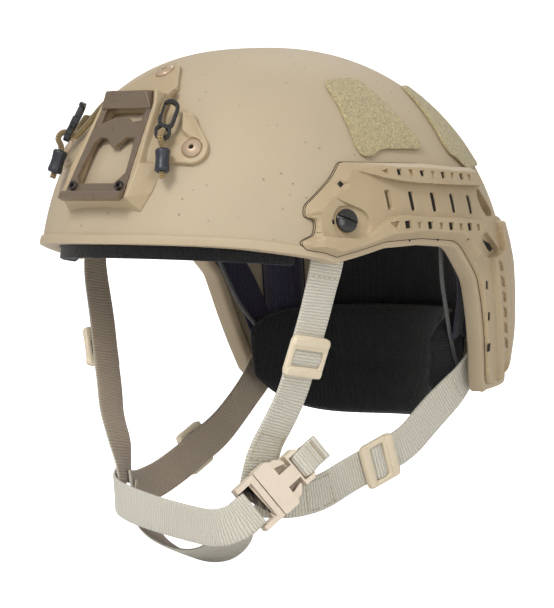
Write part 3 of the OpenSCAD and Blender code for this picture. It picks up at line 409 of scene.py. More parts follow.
@dataclass(frozen=True)
class MouldedFinish(Finish):
    """Moulded plastic or metal with fine grain and worn edges."""

    grain: float = 1500.0
    depth: float = 0.03
    wear: float = 1.22
    reach: float = 0.06
    metal: float = 0.0
    coat: float = 0.0

    def material(self, effects: Effects) -> Material:
        """Builds the material."""
        mould = self.start(Metallic=self.metal, Coat_Weight=self.coat, Coat_Roughness=0.12)
        grain = mould.effect(effects, Effect.GRAIN, Scale=self.grain, Fine=0.5)
        edges = mould.effect(effects, Effect.EDGES, Scale=350.0, Reach=self.reach)["Mask"]
        base = mould.shades(grain["Shade"], self.colour, 0.94, 1.05)
        colour = mould.blend(mould.times(edges, 0.7), base, rgba(self.colour, self.wear))
        rough = mould.span(grain["Shade"], 0.0, 1.0, self.rough - 0.06, self.rough + 0.06)
        return mould.finish(grain["Height"], self.depth, colour, rough)


@dataclass(frozen=True)
class WebbingFinish(Finish):
    """Woven nylon band; its pattern follows the piece's own map, and its inner side gets painted shade."""

    rib: float = 1.65
    warp: float = 1.1
    depth: float = 0.3
    dark: float = 0.5
    # Tint of the painted shade on the inner side, towards the head.
    inner: Colour = (0.66, 0.56, 0.49)

    def material(self, effects: Effects) -> Material:
        """Builds the material."""
        band = self.start(Sheen_Weight=0.35, Sheen_Roughness=0.45, Specular_IOR_Level=0.35)
        cloth = band.weave()
        ribs = band.effect(effects, Effect.RIBS, Vector=cloth, Rib=self.rib, Warp=self.warp)
        base = band.shades(ribs["Shade"], self.colour, self.dark, 1.12)
        soil = band.span(band.noise(60.0, 4.0), 0.35, 0.7, 0.0, 0.35)
        worn = band.blend(soil, base, rgba(self.colour, 0.86))
        # Painted shade: the inner side is multiplied by the inner tint.
        behind = band.math("GREATER_THAN", band.split(cloth)[0], INNER_SHIFT / 2)
        colour = band.blend(behind, worn, rgba(self.inner), "MULTIPLY")
        return band.finish(ribs["Height"], self.depth, colour)


@dataclass(frozen=True)
class KnitFinish(Finish):
    """Spacer knit or brushed cloth over foam."""

    scale: float = 380.0
    depth: float = 0.35
    light: float = 2.0

    def material(self, effects: Effects) -> Material:
        """Builds the material."""
        cloth = self.start(Sheen_Weight=0.25, Sheen_Roughness=0.5, Specular_IOR_Level=0.25)
        knit = cloth.effect(effects, Effect.KNIT, Scale=self.scale)
        colour = cloth.shades(knit["Shade"], self.colour, 0.45, self.light)
        return cloth.finish(knit["Height"], self.depth, colour)


@dataclass(frozen=True)
class PileFinish(Finish):
    """Short loop pile."""

    scale: float = 1300.0
    depth: float = 0.7

    def material(self, effects: Effects) -> Material:
        """Builds the material."""
        loops = self.start(Sheen_Weight=0.3, Sheen_Roughness=0.6, Specular_IOR_Level=0.2)
        pile = loops.effect(effects, Effect.PILE, Scale=self.scale)
        colour = loops.shades(pile["Shade"], self.colour, 0.55, 1.3)
        return loops.finish(pile["Height"], self.depth, colour)


@dataclass(frozen=True)
class CordFinish(Finish):
    """Braided cord; its pattern follows the piece's own map."""

    pitch: float = 1.1
    depth: float = 0.25
    second: Colour = (0.3, 0.2, 0.1)

    def material(self, effects: Effects) -> Material:
        """Builds the material."""
        cord = self.start(Sheen_Weight=0.3, Sheen_Roughness=0.5)
        braid = cord.effect(effects, Effect.BRAID, Vector=cord.weave(), Pitch=self.pitch)
        colour = cord.blend(braid["Shade"], rgba(self.second), rgba(self.colour))
        return cord.finish(braid["Height"], self.depth, colour)


PAINT = PaintFinish("shell_paint", (0.475, 0.385, 0.262), 0.62)
MOULDED = MouldedFinish("moulded_tan", (0.44, 0.338, 0.205), 0.46)
TRIM = MouldedFinish("trim_rubber", (0.48, 0.38, 0.25), 0.58, grain=900.0, wear=1.08)
INSERT = MouldedFinish("insert_metal", (0.235, 0.178, 0.125), 0.3, 2600.0, 0.004, wear=1.0, metal=0.6)
BRONZE = MouldedFinish("screw_bronze", (0.47, 0.345, 0.235), 0.38, 2000.0, 0.01, wear=1.1, metal=0.25)
DARK_SCREW = MouldedFinish("screw_dark", (0.035, 0.03, 0.027), 0.3, 2000.0, 0.01, 5.0, 0.04, metal=0.8)
BOLT = MouldedFinish("bolt_dark", (0.012, 0.011, 0.009), 0.1, grain=500.0, depth=0.004, wear=1.5, coat=0.5)
NUT = MouldedFinish("nut_steel", (0.35, 0.35, 0.35), 0.35, grain=1800.0, depth=0.01, wear=1.3, metal=1.0)
PILE = PileFinish("loop_pile", (0.525, 0.43, 0.215), 0.9)
KNIT = KnitFinish("knit_black", (0.0095, 0.0095, 0.0105), 0.85, scale=620.0, depth=0.2)
NAVY = KnitFinish("cloth_navy", (0.022, 0.019, 0.036), 0.8, scale=900.0, depth=0.12, light=1.7)
DIAL = MouldedFinish("dial_plastic", (0.02, 0.02, 0.021), 0.5, wear=2.5)
LACE = CordFinish("lace_grey", (0.16, 0.16, 0.155), 0.7, pitch=0.8, second=(0.07, 0.07, 0.07))
WEBBING = WebbingFinish("webbing", (0.67, 0.63, 0.53), 0.7)
THREAD = MouldedFinish("stitch_thread", (0.44, 0.38, 0.27), 0.7, grain=3000.0, wear=1.1)
BUCKLE = MouldedFinish("buckle_plastic", (0.72, 0.61, 0.48), 0.42, wear=1.1)
SLIDER = MouldedFinish("slider_plastic", (0.74, 0.63, 0.46), 0.42, wear=1.1)
HOOK = MouldedFinish("hook_black", (0.012, 0.012, 0.012), 0.3, wear=3.0, depth=0.012)
SHOCK = CordFinish("shock_cord", (0.46, 0.30, 0.105), 0.75, second=(0.10, 0.07, 0.03))
SLEEVE = MouldedFinish("sleeve_grey", (0.021, 0.024, 0.031), 0.38, grain=700.0, depth=0.06, wear=1.5)
# Brown painted shade on the floor of the rail's blind first slot.
POCKET_SHADE = MouldedFinish("rail_pocket_shade", (0.13, 0.095, 0.05), 0.8, wear=1.0)
# Near-black painted shadow: plates in the rail's openings and round its foot, and rings and socket floors
# under the shroud screws.
SHADOW_SHEET = MouldedFinish("rail_shadow", (0.010, 0.008, 0.006), 0.9, wear=1.0)


# Shapes on grids and along paths


def unit(v: Array) -> Array:
    """The vectors of v, along its last axis, at length 1."""
    return v / np.maximum(np.linalg.norm(v, axis=-1, keepdims=True), 1e-12)


def circle(count: int) -> Array:
    """Angles of evenly spread points of a circle, in radians."""
    return np.linspace(0, 2 * np.pi, count, endpoint=False)


def grid_quads(rows: int, columns: int, close_rows: bool = False, close_columns: bool = False) -> Array:
    """Quads of a grid of points, counted row by row.

    Args:
        rows, columns: size of the grid.
        close_rows: joins the last row to the first.
        close_columns: joins the last column to the first.
    Returns:
        One row of four point numbers for each quad.
    """
    starts = np.arange(rows - (not close_rows)), np.arange(columns - (not close_columns))
    i, j = np.meshgrid(*starts, indexing="ij")
    up, side = (i + 1) % rows, (j + 1) % columns
    quads = np.stack([i * columns + j, up * columns + j, up * columns + side, i * columns + side], axis=-1)
    return quads.reshape(-1, 4)


def rounded(points: Array, radius: float, closed: bool, steps: int = 6) -> Array:
    """Rounds the corners of a line.

    Each corner becomes a parabola that leaves one stretch and meets the next at the given
    distance from the corner, or half way along a stretch that is too short. The distance is
    measured on the first three numbers of each point, and the rest are carried along.

    Args:
        points: the line's points, one to a row.
        radius: distance from the corner at which the rounding starts.
        closed: whether the line closes on itself.
        steps: points in each rounded corner.
    Returns:
        The rounded line's points.
    """
    p = np.asarray(points, float)
    before, after = np.roll(p, 1, axis=0), np.roll(p, -1, axis=0)
    if not closed:
        before[0], after[-1] = p[0], p[-1]
    low = np.linalg.norm((before - p)[:, :3], axis=1, keepdims=True)
    high = np.linalg.norm((after - p)[:, :3], axis=1, keepdims=True)
    start = p + (before - p) * np.minimum(radius, 0.5 * low) / np.maximum(low, 1e-9)
    end = p + (after - p) * np.minimum(radius, 0.5 * high) / np.maximum(high, 1e-9)
    t = np.linspace(0, 1, steps)[None, :, None]
    curve = (1 - t) ** 2 * start[:, None] + 2 * t * (1 - t) * p[:, None] + t**2 * end[:, None]
    line = curve.reshape(-1, p.shape[1])
    keep = np.ones(len(line), bool)
    keep[1:] = np.linalg.norm(np.diff(line, axis=0), axis=1) > 1e-5
    return line[keep]


def run_along(points: Array) -> Array:
    """Distance along a line at each of its points."""
    return np.concatenate([[0], np.cumsum(np.linalg.norm(np.diff(points, axis=0), axis=1))])


def resampled(points: Array, step: float) -> Array:
    """The same line with points at equal steps along it, close to step apart."""
    p = np.asarray(points, float)
    run = run_along(p[:, :3])
    count = max(2, int(round(run[-1] / step)) + 1)
    at = np.linspace(0, run[-1], count)
    return np.stack([np.interp(at, run, p[:, k]) for k in range(p.shape[1])], axis=1)


def flow(points: Array, steps: int = 8) -> Array:
    """A smooth curve through all points: a cubic on each stretch, with the slope of its neighbours.

    Args:
        points: the points that it runs through.
        steps: points on each stretch.
    Returns:
        The curve's points.
    """
    p = np.asarray(points, float)
    a = np.concatenate([p[:1], p[:-2]])
    b, c = p[:-1], p[1:]
    d = np.concatenate([p[2:], p[-1:]])
    t = np.linspace(0, 1, steps, endpoint=False)[None, :, None]
    a, b, c, d = a[:, None], b[:, None], c[:, None], d[:, None]
    line = 0.5 * (2 * b + (c - a) * t + (2 * a - 5 * b + 4 * c - d) * t**2 + (3 * b - a - 3 * c + d) * t**3)
    return np.concatenate([line.reshape(-1, p.shape[1]), p[-1:]])


def tangents(path: Array) -> Array:
    """Direction of a line at each of its points, from its neighbours on both sides."""
    return unit(np.gradient(path, axis=0))


def turned_frames(path: Array) -> Pair:
    """Two directions square to a line at each point that turn with it as little as they can."""
    t = tangents(path)
    side = np.zeros_like(t)
    seed = np.array([0.3, 0.2, 1.0])
    side[0] = unit(np.cross(t[0], seed))
    for k in range(1, len(t)):
        side[k] = unit(side[k - 1] - t[k] * np.dot(side[k - 1], t[k]))
    return side, np.cross(t, side)


@dataclass
class Form:
    """A mesh that is being worked out: points in millimetres, faces and, for cloth, its map."""

    points: Array
    faces: list
    cloth: Array | None = None

    def joined(self, other: Form) -> Form:
        """This form and another in one mesh."""
        count = len(self.points)
        moved = [[k + count for k in face] for face in other.faces]
        cloth = None
        if self.cloth is not None and other.cloth is not None:
            cloth = np.concatenate([self.cloth, other.cloth])
        return Form(np.concatenate([self.points, other.points]), list(self.faces) + moved, cloth)

    def mirrored(self) -> Form:
        """The form on the wearer's other side, its faces turned so that they still look outwards."""
        return Form(self.points * np.array([-1.0, 1.0, 1.0]), [list(f)[::-1] for f in self.faces], self.cloth)

    def placed(self, matrix: Array) -> Form:
        """The form carried to another place by a 4 by 4 matrix."""
        moved = self.points @ matrix[:3, :3].T + matrix[:3, 3]
        return Form(moved, self.faces, self.cloth)

    def volume(self) -> float:
        """Volume inside the faces, below zero where they look inwards."""
        total = 0.0
        by_count: dict[int, list] = {}
        for face in self.faces:
            by_count.setdefault(len(face), []).append(face)
        for count, group in by_count.items():
            idx = np.array(group)
            corner = self.points[idx]
            for k in range(1, count - 1):
                total += np.einsum("ij,ij->", corner[:, 0], np.cross(corner[:, k], corner[:, k + 1])) / 6
        return total

    def outward(self) -> Form:
        """The form with its faces turned about if they look inwards."""
        if self.volume() < 0:
            return Form(self.points, [list(f)[::-1] for f in self.faces], self.cloth)
        return self


def both_sides(*forms: Form) -> Iterator[tuple[str, list[Form]]]:
    """For each side its name and the forms, given for the left and mirrored for the right."""
    yield "left", list(forms)
    yield "right", [form.mirrored() for form in forms]


def loft(sections: Array, cloth: Array | None = None) -> Form:
    """A tube through closed sections, its two ends closed with a face each.

    Args:
        sections: the points as [section, point round it, axis].
        cloth: map of the same grid, [section, point, 2].
    Returns:
        The form, looking outwards.
    """
    m, k = sections.shape[:2]
    faces = grid_quads(m, k, close_columns=True).tolist()
    faces += [list(range(k)), list(range(m * k - 1, (m - 1) * k - 1, -1))]
    flat = None if cloth is None else cloth.reshape(-1, 2)
    return Form(sections.reshape(-1, 3), faces, flat).outward()


def tube(path: Array, radius: float | Array, around: int = 12) -> Form:
    """A round cord along a line: circles square to it.

    Args:
        path: the cord's middle line.
        radius: its radius, or one for each point of the line.
        around: points in each circle.
    Returns:
        The form, with a map of millimetres round and along.
    """
    side, up = turned_frames(path)
    angle = circle(around)
    r = np.broadcast_to(np.asarray(radius, float), (len(path),))[:, None, None]
    ring = np.cos(angle)[None, :, None] * side[:, None] + np.sin(angle)[None, :, None] * up[:, None]
    run = run_along(path)
    u = np.broadcast_to(angle[None] * r.mean(), (len(path), around))
    v = np.broadcast_to(run[:, None], (len(path), around))
    return loft(path[:, None] + r * ring, np.stack([u, v], axis=-1))


def band_frames(points: Array, faces: Array, radius: float, step: float) -> tuple[Array, Array, Array, Array]:
    """A band's middle line with its directions along, across and outwards.

    Across lies the cross product of the face and the direction.

    Args:
        points: the route.
        faces: the direction that the band's face looks at each point.
        radius: how far from a corner of the route the turn starts.
        step: distance between the line's points.
    Returns:
        The points and the three directions.
    """
    both = np.concatenate([np.asarray(points, float), unit(np.asarray(faces, float))], axis=1)
    line = resampled(rounded(both, radius, False), step)
    path, face = line[:, :3], line[:, 3:]
    along = tangents(path)
    side = unit(np.cross(face, along))
    return path, along, side, np.cross(along, side)


def band_profile(width: float, thick: float) -> Array:
    """Section of a woven band: two flat sides with round edges, as [across, through]."""
    half, r = width / 2, thick / 2
    turn = np.linspace(-np.pi / 2, np.pi / 2, 5)
    flat = np.linspace(-half + r, half - r, 9)[1:-1]
    right = np.stack([half - r + r * np.cos(turn), r * np.sin(turn)], axis=1)
    top = np.stack([flat[::-1], np.full(len(flat), r)], axis=1)
    left = np.stack([-half + r - r * np.cos(turn), -r * np.sin(turn)], axis=1)
    low = np.stack([flat, np.full(len(flat), -r)], axis=1)
    return np.concatenate([right, top, left, low])


def ribbon(
    points: Array, faces: Array, width: float, thick: float, radius: float = 9.0, wave: float = 0.25,
) -> Form:
    """A woven band along a route.

    A slow sine wave lifts the cloth by a fraction of a millimetre, as webbing never lies quite flat.

    Args:
        points: the route.
        faces: the direction that the band's face looks at each point.
        width, thick: the band's size.
        radius: how far from a corner of the route the turn starts.
        wave: height of the wave.
    Returns:
        The form with its map in millimetres across and along. On the inner side the numbers across
        are shifted, so that a finish can tell the sides apart.
    """
    path, _, side, up = band_frames(points, faces, radius, 1.6)
    profile = band_profile(width, thick)
    run = run_along(path)
    fade = np.clip(np.minimum(run, run[-1] - run) / 15, 0, 1)
    lift = wave * fade * np.sin(run / 9.0)
    across = profile[None, :, 0]
    bow = wave * fade[:, None] * np.sin(run / 13.0 + 1.0)[:, None] * (across / (width / 2)) ** 2
    through = profile[None, :, 1] + lift[:, None] + bow
    grid = path[:, None] + across[..., None] * side[:, None] + through[..., None] * up[:, None]
    u = np.broadcast_to(across + np.where(profile[None, :, 1] < -0.01, INNER_SHIFT, 0), through.shape)
    v = np.broadcast_to(run[:, None], through.shape)
    return loft(grid, np.stack([u, v], axis=-1))


def stitches(centres: Array, directions: Array, length: float = 2.6, radius: float = 0.32) -> Form:
    """Threads: one small spindle at each centre along its direction, six points round in four rings.

    Args:
        centres: middle of each stitch.
        directions: the way that each one runs.
        length, radius: size of a stitch.
    Returns:
        All the stitches in one form.
    """
    d = unit(np.asarray(directions, float))
    c = np.asarray(centres, float)
    side = unit(np.cross(d, np.array([0.31, 0.17, 0.93])))
    up = np.cross(d, side)
    along = np.array([-0.5, -0.3, 0.3, 0.5]) * length
    girth = np.array([0.35, 1.0, 1.0, 0.35]) * radius
    angle = circle(6)[:, None]
    ring = np.cos(angle) * side[:, None, None] + np.sin(angle) * up[:, None, None]
    points = c[:, None, None] + along[:, None, None] * d[:, None, None] + girth[:, None, None] * ring
    quads = grid_quads(4, 6, close_columns=True)
    caps = np.array([list(range(6)), list(range(23, 17, -1))])
    offset = np.arange(len(c))[:, None, None] * 24
    faces = (quads[None] + offset).reshape(-1, 4).tolist() + (caps[None] + offset).reshape(-1, 6).tolist()
    return Form(points.reshape(-1, 3), faces).outward()


def swept(radius: Array, height: Array, around: int) -> Array:
    """Sweeps a profile round +Z.

    Args:
        radius, height: the profile's radii and heights.
        around: points in each circle.
    Returns:
        The points as [profile, point round it, axis].
    """
    angle = circle(around)
    flat = radius[:, None, None] * np.stack([np.cos(angle), np.sin(angle)], axis=-1)
    level = np.broadcast_to(height[:, None, None], (len(height), around, 1))
    return np.concatenate([flat, level], axis=-1)


def lathe(profile: Array, matrix: Array, around: int = 48) -> Form:
    """A turned solid: the profile's radii and heights swept round +Z, closed at both ends."""
    p = np.asarray(profile, float)
    return loft(swept(p[:, 0], p[:, 1], around)).placed(matrix)


def frame_matrix(x: Array, y: Array, z: Array, at: Array) -> Array:
    """A 4 by 4 matrix from three directions and a place."""
    m = np.eye(4)
    m[:3, 0], m[:3, 1], m[:3, 2], m[:3, 3] = x, y, z, at
    return m


# The shell's surface


@dataclass(frozen=True)
class ShellSurface:
    """The helmet's surface, offset outwards by d, by the same formulas as the CAD model.

    In plan it is a superellipse with its own reach before and behind the head; the plan shrinks
    towards the crown by a second superellipse and its middle moves forwards.
    """

    front: float = 132.0
    rear: float = 143.0
    half_w: float = 108.0
    crown: float = 128.5
    shift: float = 11.8
    nape: float = 60.0
    tuck: float = 0.07
    wall: float = 8.0
    plan_front: float = 2.27
    plan_rear: float = 2.07
    rise_long: float = 1.79
    rise_side: float = 2.11
    rise_round: float = 2.38
    corner: float = 14.0
    brow: float = 31.5
    halvings: int = 22

    def up_share(self, z: Array, d: Array) -> Array:
        """Share of the crown's height at z, from 0 to 1."""
        return np.clip(z / (self.crown + d), 0, 1)

    def share_x(self, z: Array, d: Array) -> Array:
        """Share of the width left at z."""
        up = self.up_share(z, d)
        tucked = np.where(z < 0, 1 - self.tuck * (z / self.nape) ** 2, 1.0)
        return (1 - up**self.rise_side) ** (1 / self.rise_round) * tucked

    def share_y(self, z: Array, d: Array) -> Array:
        """Share of the length left at z."""
        return (1 - self.up_share(z, d) ** self.rise_long) ** (1 / self.rise_round)

    def mid_y(self, z: Array, d: Array) -> Array:
        """Where the plan's middle lies at z."""
        return -self.shift * self.up_share(z, d) ** 2

    def ring(self, a: Array, z: Array, d: Array = 0.0) -> Array:
        """Points at plan angle a, in radians from +X, and height z."""
        c, s = np.cos(a), np.sin(a)
        n = np.where(s < 0, self.plan_front, self.plan_rear)
        reach = np.where(s < 0, self.front, self.rear) + d
        x = (self.half_w + d) * self.share_x(z, d) * np.sign(c) * np.abs(c) ** (2 / n)
        y = self.mid_y(z, d) + reach * self.share_y(z, d) * np.sign(s) * np.abs(s) ** (2 / n)
        return np.stack(np.broadcast_arrays(x, y, z), axis=-1)

    def side_x(self, y: Array, z: Array, d: Array = 0.0) -> Array:
        """How far left the surface lies at y and z."""
        v = y - self.mid_y(z, d)
        n = np.where(v < 0, self.plan_front, self.plan_rear)
        reach = (np.where(v < 0, self.front, self.rear) + d) * self.share_y(z, d)
        u = np.minimum(1, np.abs(v) / reach)
        return (self.half_w + d) * self.share_x(z, d) * (1 - u**n) ** (1 / n)

    def front_y(self, x: Array, z: Array, d: Array = 0.0) -> Array:
        """How far forwards the surface lies at x and z."""
        u = np.minimum(1, np.abs(x) / ((self.half_w + d) * self.share_x(z, d)))
        reach = (self.front + d) * self.share_y(z, d)
        return self.mid_y(z, d) - reach * (1 - u**self.plan_front) ** (1 / self.plan_front)

    def over_z(self, x: Array, y: Array, d: float = 0.0) -> Array:
        """Height of the surface over a point of the plan, found by halving."""
        low, high = np.zeros_like(x), np.ones_like(x)
        for _ in range(self.halvings):
            mid = (low + high) / 2
            inside = np.abs(x) < self.side_x(y, mid * (self.crown + d), d)
            low, high = np.where(inside, mid, low), np.where(inside, high, mid)
        return low * (self.crown + d)

    def edge_z(self, y: Array, grow: float = 0.0) -> Array:
        """Height of the shell's edge in side view: discs of the corner radius roll along a line.

        Args:
            y: places along the shell.
            grow: how far over the edge the height is taken, square to the edge.
        Returns:
            One height for each place.
        """
        b, r = self.brow, self.corner
        line = np.array([
            [-200, b - r], [-127, b - r], [-110, b - 2 - r], [-97, b - 4 - r], [-78, b - 8 - r],
            [-66, b - 10.6 - r], [-57, b - 14.5 - r], [-40, b - 11.5 - r], [-22, b - 8 - r], [2, b - 8 - r],
            [25, b - 10.5 - r], [36, -6], [39, -16], [50.5, -self.nape], [62, -self.nape - 17],
            [72, -self.nape - r], [200, -self.nape - r],
        ])
        dense = resampled(np.concatenate([line, np.zeros((len(line), 1))], axis=1), 0.3)
        dy = np.asarray(y, float)[..., None] - dense[:, 0]
        rise = np.sqrt(np.maximum(0, (r + grow) ** 2 - dy**2))
        top = np.where(np.abs(dy) < r + grow, dense[:, 1] + rise, -1e3)
        return top.max(axis=-1)

    def edge_height(self, a: Array, d: float, grow: float) -> Array:
        """Height at which the surface meets the edge line, found by halving.

        Args:
            a: plan angles in radians from +X.
            d: offset of the surface.
            grow: how far over the edge the height is taken, square to the edge.
        Returns:
            One height for each angle.
        """
        low, high = np.full_like(a, -90.0), np.full_like(a, 60.0)
        for _ in range(self.halvings):
            mid = (low + high) / 2
            under = mid < self.edge_z(self.ring(a, mid, d)[..., 1], grow)
            low, high = np.where(under, mid, low), np.where(under, high, mid)
        return (low + high) / 2

    def side_normal(self, y: float, z: float) -> Array:
        """Outward direction of the surface on the wearer's left."""
        one = np.array([self.side_x(y + 1, z) - self.side_x(y - 1, z), 2, 0])
        two = np.array([self.side_x(y, z + 1) - self.side_x(y, z - 1), 0, 2])
        return unit(np.cross(one, two))

    def front_normal(self, x: float, z: float) -> Array:
        """Outward direction of the surface at the brow."""
        one = np.array([2, self.front_y(x + 1, z) - self.front_y(x - 1, z), 0])
        two = np.array([0, self.front_y(x, z + 1) - self.front_y(x, z - 1), 2])
        return unit(np.cross(one, two))

    def in_wall(self, y: float, z: float, off: float) -> list[float]:
        """A point on the left that hangs off millimetres inside the wall."""
        return [float(self.side_x(y, z, -self.wall)) - off, y, z]

    def stand(self, at: Array, normal: Array) -> Array:
        """Matrix whose +Z is the surface's direction at a place, as the CAD model sets its fasteners."""
        x = unit(np.cross([0, 1, 0.2], normal))
        return frame_matrix(x, np.cross(normal, x), normal, at)


SURFACE = ShellSurface()


# Making Blender objects


def put(name: str, data: bpy.types.ID) -> Thing:
    """Puts data into the scene as an object at the origin."""
    obj = bpy.data.objects.new(name, data)
    bpy.context.scene.collection.objects.link(obj)
    return obj


def final_mesh(obj: Thing) -> bpy.types.Mesh:
    """The mesh that an object shows with its modifiers."""
    graph = bpy.context.evaluated_depsgraph_get()
    return bpy.data.meshes.new_from_object(obj.evaluated_get(graph))


@dataclass
class Workshop:
    """Turns forms into objects, dresses them and sets them on their bodies."""

    frame: dict
    effects: Effects
    paints: dict[str, Material]

    def dress(self, obj: Thing, finish: Finish) -> None:
        """Gives an object one material in place of its own, made when a piece first needs it."""
        if finish.name not in self.paints:
            self.paints[finish.name] = finish.material(self.effects)
        obj.data.materials.clear()
        obj.data.materials.append(self.paints[finish.name])

    def make(
        self, name: str, form: Form, finish: Finish, node: str = "", body: Body = Body.HELMET,
        sharp: float | None = 40.0, slot: str | None = None,
    ) -> Thing:
        """Makes a piece.

        Args:
            name: the piece's name.
            form: its mesh in millimetres.
            finish: its finish.
            node: the CAD node that it stands for, if any.
            body: the CAD body that it rides on.
            sharp: edges that turn by more degrees than this stay sharp; None smooths them all.
            slot: the record's material slot, if it isn't named as the finish is; not used.
        Returns:
            The object.
        """
        mesh = bpy.data.meshes.new(name)
        mesh.from_pydata((form.points * MM).tolist(), [], form.faces)
        if form.cloth is not None:
            layer = mesh.uv_layers.new(name=MAP_NAME)
            corner = np.zeros(len(mesh.loops), np.int32)
            mesh.loops.foreach_get("vertex_index", corner)
            layer.data.foreach_set("uv", form.cloth[corner].astype(np.float32).ravel())
        return self.settle(put(name, mesh), finish, node, body, sharp, slot)

    def settle(
        self, obj: Thing, finish: Finish, node: str, body: Body, sharp: float | None,
        slot: str | None = None,
    ) -> Thing:
        """Shades, dresses and seats an object.

        Args:
            obj: the object.
            finish, node, body, sharp, slot: as in make.
        Returns:
            The object.
        """
        mesh = obj.data
        mesh.validate()
        if sharp is None:
            mesh.shade_smooth()
        else:
            mesh.set_sharp_from_angle(angle=math.radians(sharp))
        mesh.update()
        self.dress(obj, finish)
        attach(obj, body.value)
        slot or finish.name
        if node:
            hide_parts(node)
        LOG.info("%s: %d faces on %s", obj.name, len(mesh.polygons), body.value)
        return obj

    def copied(self, node: str, name: str, flatten: bool) -> Thing:
        """A copy of a CAD node, its points merged and, if asked, each flat face made whole."""
        mesh = self.frame["nodes"][node].data.copy()
        mesh.name = name
        work = bmesh.new()
        work.from_mesh(mesh)
        bmesh.ops.remove_doubles(work, verts=work.verts, dist=MERGE_MM * MM)
        if flatten:
            bmesh.ops.dissolve_limit(work, angle_limit=math.radians(1.0), verts=work.verts, edges=work.edges)
        work.to_mesh(mesh)
        work.free()
        return put(name, mesh)

    def refined(
        self, node: str, name: str, finish: Finish, width: float, segments: int = 3, body: Body = Body.HELMET,
    ) -> Thing:
        """A copy of a CAD node with rounded edges.

        Args:
            node: the CAD node, which the copy replaces.
            name: the copy's name.
            finish: its finish.
            width: width of the rounding in millimetres.
            segments: faces across the rounding.
            body: the body it rides on.
        Returns:
            The object.
        """
        obj = self.copied(node, name, True)
        mod = obj.modifiers.new("edges", "BEVEL")
        mod.width = width * MM
        mod.segments = segments
        mod.limit_method = "ANGLE"
        mod.angle_limit = math.radians(28.0)
        mod.harden_normals = True
        mod.use_clamp_overlap = True
        return self.settle(obj, finish, node, body, 35.0)

    def softened(self, node: str, name: str, finish: Finish, voxel: float, rounds: int) -> Thing:
        """A copy of a CAD node cast in small cells and smoothed, for moulded pieces with soft edges.

        Args:
            node: the CAD node, which the copy replaces.
            name: the copy's name.
            finish: its finish.
            voxel: size of the cells in millimetres.
            rounds: rounds of smoothing.
        Returns:
            The object.
        """
        obj = self.copied(node, name, False)
        cast = obj.modifiers.new("cast", "REMESH")
        cast.mode = "VOXEL"
        cast.voxel_size = voxel * MM
        calm = obj.modifiers.new("calm", "SMOOTH")
        calm.factor = 0.5
        calm.iterations = rounds
        final = final_mesh(obj)
        obj.modifiers.clear()
        obj.data = final
        return self.settle(obj, finish, node, Body.HELMET, None)


@dataclass
class Plate:
    """A flat outline with holes and rounded edges, between two heights."""

    outline: Array
    holes: list[Array]
    low: float
    high: float
    edge: float = 0.5

    def form(self, cell: float = 0.0) -> Form:
        """The plate lying in its own plane, as [across, up, height].

        Args:
            cell: cuts the plate's faces to squares of this size, so that they can be bent.
        Returns:
            The form.
        """
        curve = bpy.data.curves.new("plate", "CURVE")
        curve.dimensions = "2D"
        curve.fill_mode = "BOTH"
        curve.bevel_depth = self.edge
        curve.bevel_resolution = 2
        curve.offset = -self.edge
        curve.extrude = (self.high - self.low) / 2 - self.edge
        for ring in [self.outline, *self.holes]:
            spline = curve.splines.new("POLY")
            spline.points.add(len(ring) - 1)
            flat = np.concatenate([ring[:, :2], np.zeros((len(ring), 1)), np.ones((len(ring), 1))], axis=1)
            spline.points.foreach_set("co", flat.astype(np.float32).ravel())
            spline.use_cyclic_u = True
        holder = put("plate", curve)
        mesh = final_mesh(holder)
        bpy.data.objects.remove(holder)
        work = bmesh.new()
        work.from_mesh(mesh)
        bmesh.ops.remove_doubles(work, verts=work.verts, dist=0.01)
        if cell:
            self.cut(work, cell)
        bmesh.ops.recalc_face_normals(work, faces=work.faces)
        work.verts.index_update()
        points = np.array([v.co[:] for v in work.verts])
        faces = [[v.index for v in f.verts] for f in work.faces]
        work.free()
        bpy.data.meshes.remove(mesh)
        points[:, 2] += (self.low + self.high) / 2
        return Form(points, faces)

    def cut(self, work: bmesh.types.BMesh, cell: float) -> None:
        """Cuts a mesh along both ways of a square grid."""
        for axis in (0, 1):
            values = self.outline[:, axis]
            normal = Vector((1, 0, 0)) if axis == 0 else Vector((0, 1, 0))
            for at in np.arange(math.ceil(values.min() / cell) * cell, values.max(), cell):
                everything = work.verts[:] + work.edges[:] + work.faces[:]
                bmesh.ops.bisect_plane(work, geom=everything, plane_co=normal * float(at), plane_no=normal)


def ramp(value: Array, low: float, high: float) -> Array:
    """Share of the way from low to high, held between 0 and 1."""
    return np.clip((value - low) / (high - low), 0, 1)


def reach(points: Array, outline: Array) -> Array:
    """Distance of points from a closed outline, above zero inside it.

    The nearest stretch gives the distance. A point is inside where a line drawn from it to the
    right crosses the outline an odd number of times.

    Args:
        points: the points, one to a row.
        outline: corners of the outline.
    Returns:
        One distance for each point.
    """
    best = np.full(len(points), 1e9)
    inside = np.zeros(len(points), bool)
    for start, end in zip(outline, np.roll(outline, -1, axis=0)):
        way = end - start
        if way @ way < 1e-12:
            continue
        off = points - start
        gap = off - np.clip(off @ way / (way @ way), 0, 1)[:, None] * way
        best = np.minimum(best, np.einsum("ij,ij->i", gap, gap))
        if abs(way[1]) > 1e-12:
            crosses = (start[1] > points[:, 1]) != (end[1] > points[:, 1])
            inside ^= crosses & (off[:, 0] < off[:, 1] * way[0] / way[1])
    return np.where(inside, 1, -1) * np.sqrt(best)


